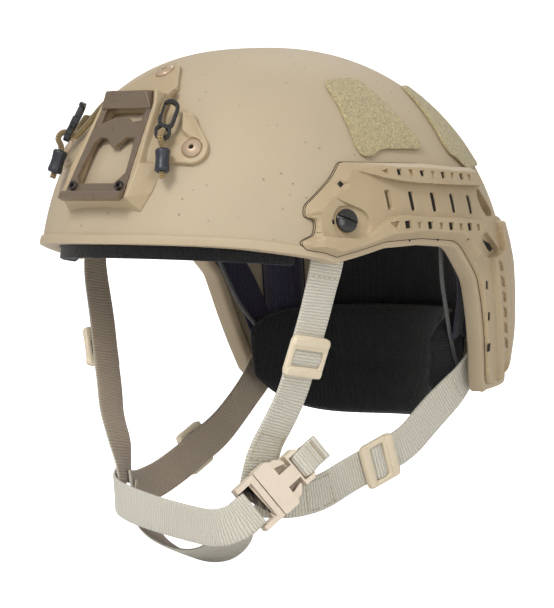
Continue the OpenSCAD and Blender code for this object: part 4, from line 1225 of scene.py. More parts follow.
@dataclass
class Relief:
    """A moulded face: heights over a fine grid inside an outline, closed by a back.

    Grid points within half a cell of the outline, or of a line where the height steps, are moved
    onto it down the slope of its distance, so that edges run clean.
    """

    outline: Array
    lines: list[Array]
    height: Callable[[Array], Array]
    cell: float = 0.5

    def grid(self) -> tuple[Array, tuple[int, int]]:
        """The grid's points, drawn to the lines, and its size."""
        low, high = self.outline.min(axis=0) - self.cell, self.outline.max(axis=0) + 2 * self.cell
        across, up = (np.arange(low[k], high[k], self.cell) for k in (0, 1))
        p = np.stack(np.meshgrid(across, up, indexing="ij"), axis=-1).reshape(-1, 2)
        size = (len(across), len(up))
        free = np.ones(len(p), bool)
        for line in [self.outline, *self.lines]:
            near = reach(p, line)
            slope = np.stack(np.gradient(near.reshape(size), self.cell), axis=-1).reshape(-1, 2)
            close = free & (np.abs(near) < self.cell / 2)
            share = near / np.maximum(np.einsum("ij,ij->i", slope, slope), 0.25)
            p = p - np.where(close, share, 0)[:, None] * slope
            free &= ~close
        return p, size

    def form(self, back: Callable[[Array], Array]) -> Form:
        """The face, its back and the sides between them, as [across, up, height].

        Args:
            back: height of the back at given points.
        Returns:
            The form.
        """
        p, size = self.grid()
        kept = reach(p, self.outline) > -0.2 * self.cell
        quads = grid_quads(*size)
        held = kept[quads]
        four, corner = quads[held.all(axis=1)], held.sum(axis=1) == 3
        three = quads[corner][held[corner]].reshape(-1, 3)
        edges = np.concatenate([
            np.stack([shape, np.roll(shape, -1, axis=1)], axis=-1).reshape(-1, 2) for shape in (three, four)
        ])
        rim = edges[~np.isin(edges @ [len(p), 1], edges @ [1, len(p)])]
        used = np.unique(edges)
        place = np.zeros(len(p), int)
        place[used] = np.arange(len(used))
        shift = len(used)
        three, four, rim = place[three], place[four], place[rim]
        faces = three.tolist() + four.tolist()
        faces += (three[:, ::-1] + shift).tolist() + (four[:, ::-1] + shift).tolist()
        faces += np.column_stack([rim[:, ::-1], rim + shift]).tolist()
        flat = p[used]
        low = back(flat)
        top = np.maximum(self.height(flat), low + 0.1)
        points = np.concatenate([np.column_stack([flat, top]), np.column_stack([flat, low])])
        return Form(points, faces)


def on_side(form: Form) -> Form:
    """Bends a flat form on the wearer's left: across is y, up is z, and height is the surface's offset."""
    y, z, d = form.points.T
    return Form(np.stack([SURFACE.side_x(y, z, d), y, z], axis=1), form.faces).outward()


def ring_of(centre: Size, radius: float, count: int = 24) -> Array:
    """A round hole's outline."""
    angle = circle(count)
    return np.stack([centre[0] + radius * np.cos(angle), centre[1] + radius * np.sin(angle)], axis=1)


def box_of(centre: Size, width: float, height: float, radius: float = 0.4) -> Array:
    """A rectangle's outline with rounded corners."""
    w, h = width / 2, height / 2
    square = np.array([[-w, -h], [w, -h], [w, h], [-w, h]]) + np.array(centre)
    return rounded(square, radius, True, 3)


# Shell and trim


@dataclass
class Shell:
    """The painted shell and the trim along its edge."""

    columns: int = 600
    rows: int = 58
    trim: float = 1.3
    leg: float = 4.0

    def angles(self) -> Array:
        """Plan angles that are dense where the edge is steep: half by angle, half by the edge's length."""
        a = np.linspace(0, 2 * np.pi, 3001)
        edge = SURFACE.ring(a, SURFACE.edge_height(a, 0.0, 0.0))
        run = run_along(edge)
        mix = 0.5 * a / a[-1] + 0.5 * run / run[-1]
        return np.interp(np.linspace(0, 1, self.columns, endpoint=False), mix, a)

    def skin(self, a: Array, d: float) -> Array:
        """One side of the wall: from the edge to the crown, with rings close together near the top."""
        power = 2 / 1.95
        edge = SURFACE.edge_height(a, d, 0.0)
        top = SURFACE.crown + d
        share = np.clip(edge / top, 0, 1) ** (1 / power)
        start = np.where(edge > 0, np.arcsin(share), edge / top)
        t = np.linspace(0, 1, self.rows)[:, None]
        turn = start[None] + (np.pi / 2 - start[None]) * t
        z = np.where(turn > 0, top * np.sin(np.maximum(turn, 0)) ** power, top * turn)
        return SURFACE.ring(np.broadcast_to(a, z.shape), z, d)

    def shell_form(self) -> Form:
        """Outer and inner skin, joined round the edge."""
        a = self.angles()
        outer, inner = self.skin(a, 0.0), self.skin(a, -SURFACE.wall)
        n, m = self.columns, self.rows
        quads = grid_quads(m - 1, n, close_columns=True)
        shift = m * n
        faces = quads.tolist() + (quads[:, ::-1] + shift).tolist()
        for base in (0, shift):
            top = base + (m - 2) * n
            pole = base + (m - 1) * n
            fan = [[top + j, pole, top + (j + 1) % n] for j in range(n)]
            faces += fan if base == 0 else [f[::-1] for f in fan]
        faces += [[j, (j + 1) % n, shift + (j + 1) % n, shift + j] for j in range(n)]
        points = np.concatenate([outer.reshape(-1, 3), inner.reshape(-1, 3)])
        return Form(points, faces).outward()

    def trim_form(self) -> Form:
        """The trim: a U section of offset and height over the edge, carried round the edge line."""
        t, w, g = self.trim, SURFACE.wall, self.leg
        half = [
            (-0.05, 0.3), (0.05, g - 0.1), (t - 0.7, g), (t - 0.2, g - 0.5), (t, g - 1.3), (t, g / 2),
            (t, 0.2), (t - 0.3, -t + 0.5), (-0.6, -t + 0.05),
        ]
        section = [*half, (-w / 2, -t), *((-w - d, h) for d, h in reversed(half))]
        a = self.angles()
        grid = np.stack([SURFACE.ring(a, SURFACE.edge_height(a, d, h), d) for d, h in section], axis=1)
        faces = grid_quads(len(a), len(section), close_rows=True, close_columns=True).tolist()
        return Form(grid.reshape(-1, 3), faces).outward()

    def build(self, shop: Workshop) -> None:
        """Makes the shell and its trim."""
        shop.make("shell_wall", self.shell_form(), PAINT, "shell", sharp=60)
        shop.make("edge_band", self.trim_form(), TRIM, "edge_trim", sharp=50)


# Rails and loop patches


@dataclass
class Rail:
    """Accessory rail: one moulded face, drawn in side view as [y, z] with heights over the shell."""

    plate_t: float = 4.4
    track: float = 8.8
    plate: tuple = (
        [-71, 25.1], [-72.3, 27.5], [-71.6, 29.1], [-65.6, 31.3], [-64.2, 34.2], [-63.4, 38.6], [-64.4, 40.1],
        [-67.4, 40.6], [-68, 41.9], [-67.3, 45.1], [-65.8, 47.4], [-50.5, 58.7], [-48, 60.9], [-41, 67.8],
        [-33.5, 67.4], [11.5, 64.4], [36, 61.6], [61, 59.6], [66, 50.5], [78, 34], [90, 31], [96, 8],
        [97, -30], [91, -50], [80, -58], [66, -57], [20, -57], [-40, 10], [-62, 16],
    )
    upper: tuple = (
        [-36, 69], [-20, 70], [61, 63], [65, 52], [61.9, 49.5], [24.4, 52.3], [1.1, 54.4], [-12.2, 56.3],
        [-21.2, 58.5], [-28.4, 60.7], [-35.8, 63],
    )
    lower: tuple = (
        [-76, 31], [-66.3, 31.8], [-60.2, 31.2], [-46, 28.9], [-41, 28.8], [-37.8, 29.6], [-26.4, 36.2],
        [-20.6, 38.6], [-14.9, 39.6], [1.1, 37.8], [21, 35.9], [38.5, 34.2], [55.4, 31.7], [57, 28.5],
        [47, 22.6], [45, 10], [-40, 5], [-80, 18],
    )
    pear: tuple = (
        [-60, 50], [-54.6, 51.9], [-50.1, 49.3], [-45.5, 46.7], [-37.9, 43.4], [-35.1, 40.9], [-33.6, 37.1],
        [-34, 33.3], [-36.9, 29.3], [-46, 28.4], [-60.2, 31], [-62.5, 31.5], [-62.5, 46],
    )
    diamond: tuple = ([-45, 60], [-49.3, 57.4], [-46.5, 52.8], [-41.2, 56.5])
    windows: tuple = (
        [[59.3, 47.5], [63, 49], [74.5, 35.5], [73.5, 32.8], [65.5, 33.2], [59.6, 40]],
        [[62.1, 25.6], [75.8, 15.4], [74.8, 12.4], [60.9, 10.9], [47.9, 20.7], [53.1, 21.9]],
    )
    keyhole: tuple = (
        [59.8, 21.6], [70.2, 18.9], [74.6, 14.9], [68.5, 13.6], [65.1, 15.9],
    )
    moons: tuple = (
        [[-21.6, 62.1], [-17.6, 63.6], [-17.2, 60.4]],
        [[-25.2, 35.9], [-18.8, 36.3], [-19.7, 32.4], [-22, 32.3]],
    )
    tail: tuple = (
        [64, 12], [76, 14.5], [90, 14.5], [94, -30], [88, -56], [78, -58], [69, -30], [66, -8],
    )
    outer: tuple = (
        [78, 30], [87, 30.6], [94, 8], [95, -30], [90, -49.4], [84, -54], [88, -38], [81, 10],
    )
    pitch: float = 8.46
    upper_start: Size = (-10.8, 61.05)
    lower_start: Size = (-13.0, 33.8)
    upper_fall: float = -0.1
    lower_fall: float = -0.085
    drop: float = 1.6
    shrink: float = 0.93
    bolt_at: Size = (-47.4, 37.4)
    bolt_well: Size = (8.3, 2.2)

    def __post_init__(self) -> None:
        """Works the outlines out once."""
        self.body = self.clipped(rounded(np.array(self.plate), 1.6, True, 4), 2.2)
        self.shapes = {
            name: rounded(np.array(points, float), radius, True, 4) for name, points, radius in (
                ("upper", self.upper, 1.5), ("lower", self.lower, 1.5), ("pear", self.pear, 2.5),
                ("diamond", self.diamond, 0.8), ("window", self.windows[0], 2.0),
                ("bay", self.windows[1], 1.8), ("keyhole", self.keyhole, 1.0), ("tail", self.tail, 3.0),
                ("outer", self.outer, 2.5),
                ("moon_up", self.moons[0], 0.5), ("moon_low", self.moons[1], 0.5),
            )
        }
        self.shapes["side_slot"] = box_of((-54.9, 37.7), 3.0, 2.6)
        self.row("slot", 5, (-19.0, 47.1), (16.75, -1.59125), 3.9, 10.8, 1.5)
        self.row("tab", 3, (57.3, -3.0), (2.4, -17.0), 3.4, 5.0)
        self.row("pin", 3, (-8.0, 25.3), (22.0, -1.1), 1.2, 1.2)
        self.floors = {f"slot_{k}": 3.1 + 0.1 * k for k in range(1, 5)} | {"side_slot": 1.6, "keyhole": 0.9}
        self.floors |= {f"tab_{k}": 3.5 for k in range(3)} | {f"pin_{k}": 3.0 for k in range(3)}

    def row(
        self, name: str, count: int, start: Size, step: Size, width: float, height: float,
        radius: float = 0.4,
    ) -> None:
        """Adds a row of equal rounded boxes to the shapes.

        Args:
            name: start of their names, which end in their number.
            count: how many there are.
            start: centre of the first.
            step: the way from each to the next.
            width, height, radius: size of a box, and of its corners.
        """
        for k in range(count):
            centre = (start[0] + k * step[0], start[1] + k * step[1])
            self.shapes[f"{name}_{k}"] = box_of(centre, width, height, radius)

    def clipped(self, outline: Array, clearance: float) -> Array:
        """Keeps an outline above the trim.

        Args:
            outline: its points as [y, z].
            clearance: how far over the shell's edge its lowest points end up.
        Returns:
            The outline with evenly spread points.
        """
        closed = np.concatenate([outline, outline[:1]])
        dense = resampled(np.concatenate([closed, np.zeros((len(closed), 1))], axis=1), 0.8)[:-1, :2]
        dense[:, 1] = np.maximum(dense[:, 1], SURFACE.edge_z(dense[:, 0], clearance))
        step = np.linalg.norm(np.diff(dense, axis=0, append=dense[:1]), axis=1)
        return dense[step > 0.15]

    def notches(self) -> list[tuple[Array, Size, Size, bool]]:
        """Every notch: its outline, centre and size, and whether it goes through."""
        found = []
        rows = ((False, self.upper_start, self.upper_fall), (True, self.lower_start, self.lower_fall))
        for below, start, fall in rows:
            for k in range(8):
                centre = (start[0] + k * self.pitch, start[1] + fall * k * self.pitch)
                through = k % 2 == 0
                size = (4.6, 4.4) if through and below else (3.8, 3.7) if through else (3.2, 3.7)
                found.append((box_of(centre, *size, 0.3), centre, size, through))
        return found

    def limit(self, p: Array) -> Array:
        """Greatest height near the rail's own edge: slopes of several widths round it."""
        y, z = p.T
        inward = np.maximum(reach(p, self.body), 0)
        share = ramp(y, -40, -20)
        front = 1.4 + 0.57 * inward
        top = (1.4 + 4.1 * share) + (0.57 + 0.93 * share) * inward
        low = 1.6 + 1.75 * inward
        rest = 3.6 + 2.0 * inward
        found = np.where((z > 50) & (y > -60), top, rest)
        found = np.where((z > 42) & (y < -40), front, found)
        return np.where((z < 33) & (y < 52), low, found)

    def height(self, p: Array) -> Array:
        """Height of the face over the shell at each point."""
        y, z = p.T
        t = self.plate_t
        into = {name: reach(p, shape) for name, shape in self.shapes.items()}
        h = np.full(len(p), t)

        def towards(old: Array, name: str, new: Array | float, width: float) -> Array:
            return old + (new - old) * ramp(into[name], 0, width)

        h = np.maximum(h, towards(h, "upper", np.interp(y, [-38, -12], [t, self.track]), 0.4))
        arm = np.interp(y, [-75, -64, -38, -22], [1.5, 6.0, 6.0, self.track])
        h = np.maximum(h, towards(h, "lower", arm, 0.4))
        spine = ([-58.5, -38.5, -27.1, -14.3, -1.4, 11.8], [80.8, 77.0, 73.8, 71.7, 68.8, 66.5])
        along = y - np.interp(z, *spine)
        ridge = np.interp(along, [-4, -1.2, 0.8, 3, 6, 8, 9.5], [0, 2.7, 3.0, 1.9, 1.9, 3.0, 3.2])
        h = np.maximum(h, towards(h, "tail", t + ridge, 1.2))
        h = np.maximum(h, towards(h, "outer", t + 3.4, 0.8))
        h = np.minimum(h, self.limit(p))
        step = np.mod(-z + 10.6, self.pitch) / self.pitch
        tail_row = (along > 2.6) & (along < 7.0) & (z < 10) & (z > -42)
        h = np.where(tail_row & (np.abs(step - 0.5 - 0.05 * (along - 5)) < 0.27), h - 1.3, h)
        h = np.minimum(h, towards(h, "pear", t - 1.85 * ramp(y - 0.5 * (z - 40), -62, -44), 0.35))
        well, floor = self.bolt_well
        h = np.where(np.hypot(y - self.bolt_at[0], z - self.bolt_at[1]) < well, np.minimum(h, floor), h)
        h = towards(h, "diamond", 2.0, 1.7)
        h = towards(h, "slot_0", t - 2.2, 0.4)
        h = towards(h, "moon_up", h - 2.0, 0.4)
        h = towards(h, "moon_low", h - 2.0, 0.4)
        h = towards(h, "window", 0.3, 0.5)
        h = towards(h, "bay", 1.7, 0.7)
        for name, floor in self.floors.items():
            h = np.minimum(h, towards(h, name, floor, 0.35))
        for outline, centre, size, through in self.notches():
            u = (y - centre[0]) / size[0] + 0.5
            v = (z - centre[1]) / size[1] + 0.5
            floor = self.track - self.drop if through else h - 1.9 * (0.3 + 0.35 * (u + v))
            h = np.where(reach(p, outline) > 0.05, np.minimum(h, floor), h)
        return h

    def form(self) -> Form:
        """The rail bent on the shell's side. Over the trim its back is lifted off the shell."""
        lines = [*self.shapes.values(), *(n[0] for n in self.notches())]
        relief = Relief(self.body, lines, self.height)
        flat = relief.form(lambda p: np.where(p[:, 1] < SURFACE.edge_z(p[:, 0], 4.3), 1.35, 0.05))
        return on_side(flat)

    def plate_at(self, outline: Array, low: float, high: float) -> Form:
        """A thin plate in an opening, a little smaller than it.

        Args:
            outline: the opening's outline as [y, z].
            low, high: the plate's two heights over the shell.
        Returns:
            The plate, bent on the wearer's left.
        """
        middle = outline.mean(axis=0)
        inner = middle + (outline - middle) * self.shrink
        return on_side(Plate(inner, [], low, high, 0.05).form(4.0))

    def shadows(self) -> Form:
        """Dark plates a hair above the floors of the through openings: painted shadow, so that they look
        black behind.
        """
        flats = [(self.shapes[name], floor) for name, floor in self.floors.items()]
        flats.append((ring_of((-44.9, 56.6), 1.9, 12), 2.1))
        flats += [(n[0], self.track - self.drop) for n in self.notches() if n[3]]
        return reduce(Form.joined, (self.plate_at(shape, low + 0.05, low + 0.3) for shape, low in flats))

    def seam(self) -> Form:
        """A dark line of painted shadow round the rail's foot, on the shell and on the trim."""
        way = unit(np.roll(self.body, -1, axis=0) - np.roll(self.body, 1, axis=0))
        inside = self.clipped(np.array(self.plate), 6.0).mean(axis=0)
        out = np.column_stack([way[:, 1], -way[:, 0]])
        turn = np.sign(np.sum((self.body - inside) * out))
        line = self.body + turn * 0.3 * out
        over = self.clipped(np.array(self.plate), 5.5)
        low = on_side(Plate(line, [], 0.03, 0.23, 0.05).form(4.0))
        return low.joined(on_side(Plate(line, [over], 1.33, 1.48, 0.04).form(4.0)))

    def build(self, shop: Workshop) -> None:
        """Makes both rails, with painted shadow on the floors of the openings and painted brown shade in the
        blind first slot.
        """
        # Painted shadow: dark plates in the openings and a dark line round the rail's foot.
        dark = self.shadows().joined(self.seam())
        # Painted shade: a brown plate on the first slot's floor.
        brown = self.plate_at(self.shapes["slot_0"], self.plate_t - 2.15, self.plate_t - 1.95)
        for side, (rail, shadow_plates, floor) in both_sides(self.form(), dark, brown):
            shop.make(f"rail_body_{side}", rail, MOULDED, f"rail_{side}", sharp=38)
            shop.make(f"rail_shadow_{side}", shadow_plates, SHADOW_SHEET, slot=TRIM.name)
            shop.make(f"rail_pocket_shade_{side}", floor, POCKET_SHADE, slot=MOULDED.name)


@dataclass
class LoopPatches:
    """The loop patches on both sides of the shell."""

    thick: float = 1.9
    tuft: float = 0.11
    side: tuple = (
        [-23, 107], [-18, 110.5], [0, 111], [4, 109.6], [14.5, 92], [23.5, 74.5], [21.5, 71.5], [-7, 73],
        [-13, 72.6], [-18, 69.8], [-24.5, 69.6], [-27, 74], [-26, 87], [-24, 99],
    )
    rear: tuple = (
        [45.5, 101], [48, 104.5], [62, 105], [68, 102], [100, 68], [97, 60], [66, 59], [61, 60.6], [55, 65.4],
        [49, 67.6], [46.5, 75],
    )

    def form(self, outline: list) -> Form:
        """One patch with rounded corners, bent on the shell, its pile lifted by a fine sine pattern."""
        flat = Plate(rounded(np.array(outline, float), 3.0, True, 6), [], 0.1, self.thick, 0.5).form(1.6)
        y, z, d = flat.points.T
        top = d > self.thick - 0.1
        along = np.sin(y * 2.9 + 1.3 * np.sin(z * 1.1))
        tuft = self.tuft * along * np.sin(z * 3.1 + 1.7 * np.sin(y * 0.9))
        flat.points[:, 2] = np.where(top, d + tuft, d)
        return on_side(flat)

    def build(self, shop: Workshop) -> None:
        """Makes the four patches."""
        for place, outline in (("side", self.side), ("rear", self.rear)):
            for side, (patch,) in both_sides(self.form(outline)):
                shop.make(f"pile_{place}_{side}", patch, PILE, f"loop_{place}_{side}", sharp=50)


# Fasteners and shroud


@dataclass
class Fasteners:
    """Ear bolts, shroud screws and the nuts inside."""

    bolt_at: Size = (-47.0, 37.3)
    bolt_d: float = 12.5
    bolt_rise: float = 3.4
    bolt_round: float = 0.36
    slot_turn: float = 51.0
    slot_w: float = 1.7
    slot_deep: float = 1.3
    seat: float = 2.8
    screw_d: float = 10.5
    screw_side: Size = (46.0, 77.0)
    screw_top: float = 115.5
    screw_seat: float = 2.4

    def bolt_matrix(self) -> Array:
        """Where the left ear bolt stands."""
        y, z = self.bolt_at
        return SURFACE.stand(np.array([SURFACE.side_x(y, z), y, z]), SURFACE.side_normal(y, z))

    def bolt(self) -> Form:
        """Domed head with its slot: heights over a disc, lowered inside the slot's band."""
        r, seat = self.bolt_d / 2, self.seat
        rho = np.concatenate([np.linspace(0, r * 0.98, 26), [r, r, r]])
        dome = seat + self.bolt_rise * (1 - self.bolt_round * (rho / r) ** 2)
        dome = dome - 66 * np.clip(rho / r - 0.9, 0, 1) ** 2
        dome[-2:] = [seat + 0.6, seat + 0.1]
        grid = swept(rho, dome, 96)
        turn = math.radians(self.slot_turn)
        off = np.abs(-grid[..., 0] * math.sin(turn) + grid[..., 1] * math.cos(turn))
        slot = np.clip((self.slot_w / 2 - off) / 0.2, 0, 1)
        grid[..., 2] -= np.where(dome[:, None] > seat + 1.2, slot * self.slot_deep, 0)
        grid[0] = np.array([0, 0, grid[0, :, 2].mean()])
        faces = grid_quads(len(rho), 96, close_columns=True).tolist()
        faces.append(list(range(len(rho) * 96 - 96, len(rho) * 96)))
        return Form(grid.reshape(-1, 3), faces).outward().placed(self.bolt_matrix())

    def collar(self) -> Form:
        """The thin washer ring under the bolt's head."""
        r = self.bolt_d / 2
        base = self.seat - 0.7
        top = self.seat + 0.3
        profile = [[3.4, base], [r + 0.2, base], [r + 0.2, base + 0.5], [r - 0.1, top], [3.4, top]]
        return lathe(profile, self.bolt_matrix())

    def screw(self, matrix: Array) -> Form:
        """Domed screw with a hexagon socket."""
        r, s = self.screw_d / 2, self.screw_seat
        profile = [
            [2.4, s - 0.4], [r - 0.2, s - 0.4], [r, s], [r, s + 0.9], [r - 0.25, s + 1.3], [r - 0.9, s + 1.8],
            [r - 2.0, s + 2.35], [1.75, s + 2.6], [1.45, s + 2.45], [1.3, s + 2.2], [1.25, s + 0.9],
            [0.05, s + 0.7],
        ]
        return lathe(profile, matrix)

    def screw_shadow(self, matrix: Array) -> Form:
        """A dark ring round the foot of a screw's head, and painted shadow on the floor of its socket."""
        r, s = self.screw_d / 2, self.screw_seat
        dark_ring = [[2.4, s - 0.6], [r + 0.5, s - 0.6], [r + 0.55, s - 0.1], [r + 0.2, s + 0.25], [2.4, s + 0.25]]
        floor = [[0.02, s + 0.8], [1.1, s + 0.8], [1.1, s + 1.5], [0.02, s + 1.5]]
        return lathe(dark_ring, matrix).joined(lathe(floor, matrix, 16))

    def build(self, shop: Workshop) -> None:
        """Makes the bolts and screws, and dresses the nuts."""
        bolt, ring = self.bolt(), self.collar()
        shop.make("ear_bolt_heads", bolt.joined(bolt.mirrored()), BOLT, "ear_bolts", sharp=50)
        shop.make("ear_bolt_rings", ring.joined(ring.mirrored()), MOULDED, slot=BOLT.name)
        x, z = self.screw_side
        side = SURFACE.stand(np.array([x, SURFACE.front_y(x, z), z]), SURFACE.front_normal(x, z))
        top = np.array([0, SURFACE.front_y(0.0, self.screw_top), self.screw_top])
        crown = SURFACE.stand(top, SURFACE.front_normal(0.0, self.screw_top))
        for name, maker, finish, node in (
            ("shroud_screw_heads", self.screw, BRONZE, "shroud_screws"),
            # Dark rings under the heads, with painted shadow in the sockets.
            ("shroud_screw_rings_and_shadow", self.screw_shadow, SHADOW_SHEET, ""),
        ):
            one = maker(side)
            whole = one.joined(one.mirrored()).joined(maker(crown))
            shop.make(name, whole, finish, node, sharp=35, slot=BRONZE.name)
        shop.dress(shop.frame["nodes"]["bolt_nuts"], NUT)


@dataclass
class Shroud:
    """The moulded front mount with its metal insert."""

    cell: float = 0.5

    def build(self, shop: Workshop) -> None:
        """Softens the moulded body and rounds the insert and its screws."""
        shop.softened("shroud_body", "shroud_moulding", MOULDED, self.cell, 5)
        shop.refined("shroud_insert", "shroud_metal", INSERT, 0.42)
        shop.refined("insert_screws", "insert_screw_heads", DARK_SCREW, 0.2, 2)


# Padding and fit system


def crowned(u: Array, v: Array) -> Array:
    """Fullness of a pad: 1 in the middle, falling off round the rim by a fourth-power superellipse."""
    return np.sqrt(np.maximum(0, 1 - np.abs(u) ** 4)) * np.sqrt(np.maximum(0, 1 - np.abs(v) ** 4))


def eased(count: int) -> Array:
    """Numbers from -1 to 1 that lie closer together near both ends."""
    return np.sin(np.linspace(-np.pi / 2, np.pi / 2, count))


def rim_of(grid: Array) -> Array:
    """The outermost entries of a grid, in order round it."""
    return np.concatenate([grid[0, :-1], grid[:-1, -1], grid[-1, :0:-1], grid[:0:-1, 0]])


def cushion(back: Array, front: Array) -> Form:
    """A closed pad between two grids of the same size."""
    size = back.shape[:2]
    quads = grid_quads(*size)
    count = size[0] * size[1]
    rim = rim_of(np.arange(count).reshape(size))
    after = np.roll(rim, -1)
    sides = np.stack([rim, after, after + count, rim + count], axis=1)
    faces = quads.tolist() + (quads[:, ::-1] + count).tolist() + sides.tolist()
    points = np.concatenate([back.reshape(-1, 3), front.reshape(-1, 3)])
    return Form(points, faces).outward()


def piping(back: Array, front: Array, radius: float) -> Form:
    """The piping half way between a pad's grids, along their rim and closed on itself."""
    loop = rim_of((back + front) / 2)
    return tube(resampled(np.concatenate([loop, loop[:2]]), 1.5), radius, 8)


@dataclass
class Padding:
    """The crowned pads inside the shell."""

    lining: float = -8.5
    trim_lining: float = -9.9
    thick: float = 15.0
    rim: float = 2.5
    dent: float = 0.35
    crown_half: Size = (42.0, 54.0)
    crown_y: float = -7.8
    piping_r: float = 0.75

    def wall_pad(self, a: Size, z: Size, back: float, drop: float = 0.0) -> Pair:
        """A pad on the shell's wall. Its lower rim falls with the square of the way from the middle.

        Args:
            a: its two ends, as plan angles in degrees.
            z: its two heights.
            back: offset of its back from the shell's outer surface.
            drop: how far the lower rim falls at both ends.
        Returns:
            Its back and front grids.
        """
        u, v = np.meshgrid(eased(61), eased(33), indexing="ij")
        inset = 0.06 * u**2 * (1 - 0.5 * v**2)
        angle = np.radians((a[0] + a[1]) / 2 + u * (a[1] - a[0]) / 2)
        level = (z[0] + z[1]) / 2 + v * (1 - inset) * (z[1] - z[0]) / 2
        level = level - drop * u**2 * (1 - v) / 2
        depth = self.rim + (self.thick - self.rim) * crowned(u, v)
        dent = self.dent * np.sin(u * 9 + 2 * v) * np.sin(v * 7 + u) * crowned(u, v)
        return SURFACE.ring(angle, level, back), SURFACE.ring(angle, level, back - depth + np.abs(dent))

    def crown_pad(self) -> Pair:
        """Back and front grids of the pad under the crown: a square grid drawn to a rounded oval."""
        u, v = np.meshgrid(eased(49), eased(49), indexing="ij")
        x = self.crown_half[0] * u * np.sqrt(1 - v * v / 2.6)
        y = self.crown_y + self.crown_half[1] * v * np.sqrt(1 - u * u / 2.6)
        z = SURFACE.over_z(x, y, self.lining)
        back = np.stack([x, y, z], axis=-1)
        depth = self.rim + (self.thick - self.rim) * crowned(u, v)
        return back, back - depth[..., None] * np.array([0, 0, 1.0])

    def add(
        self, shop: Workshop, node: str, grids: Pair, finish: Finish = KNIT, side: str = "left",
    ) -> None:
        """Args:
            shop: the workshop.
            node: the pad's CAD node.
            grids: back and front grid of the pad, on the left if it has a side.
            finish: its finish.
            side: the side it lies on.
        """
        form, rim = dict(both_sides(cushion(*grids), piping(*grids, self.piping_r)))[side]
        shop.make(f"{node}_cushion", form, finish, node, sharp=None)
        shop.make(f"{node}_piping", rim, finish, sharp=None)

    def build(self, shop: Workshop) -> None:
        """Makes all the pads on the shell's lining."""
        self.add(shop, "brow_pad", self.wall_pad((212, 328), (23, 66), self.trim_lining, 7.0))
        self.add(shop, "crown_pad", self.crown_pad())
        side = self.wall_pad((-13, 28), (36, 82), self.lining)
        rear = self.wall_pad((33.5, 45), (-38, 30), self.lining)
        self.add(shop, "rear_pad_mid", self.wall_pad((49, 131), (-34, 34), self.lining - 0.3))
        for name in ("left", "right"):
            self.add(shop, f"side_pad_{name}", side, KNIT, name)
            self.add(shop, f"rear_pad_{name}", rear, NAVY, name)


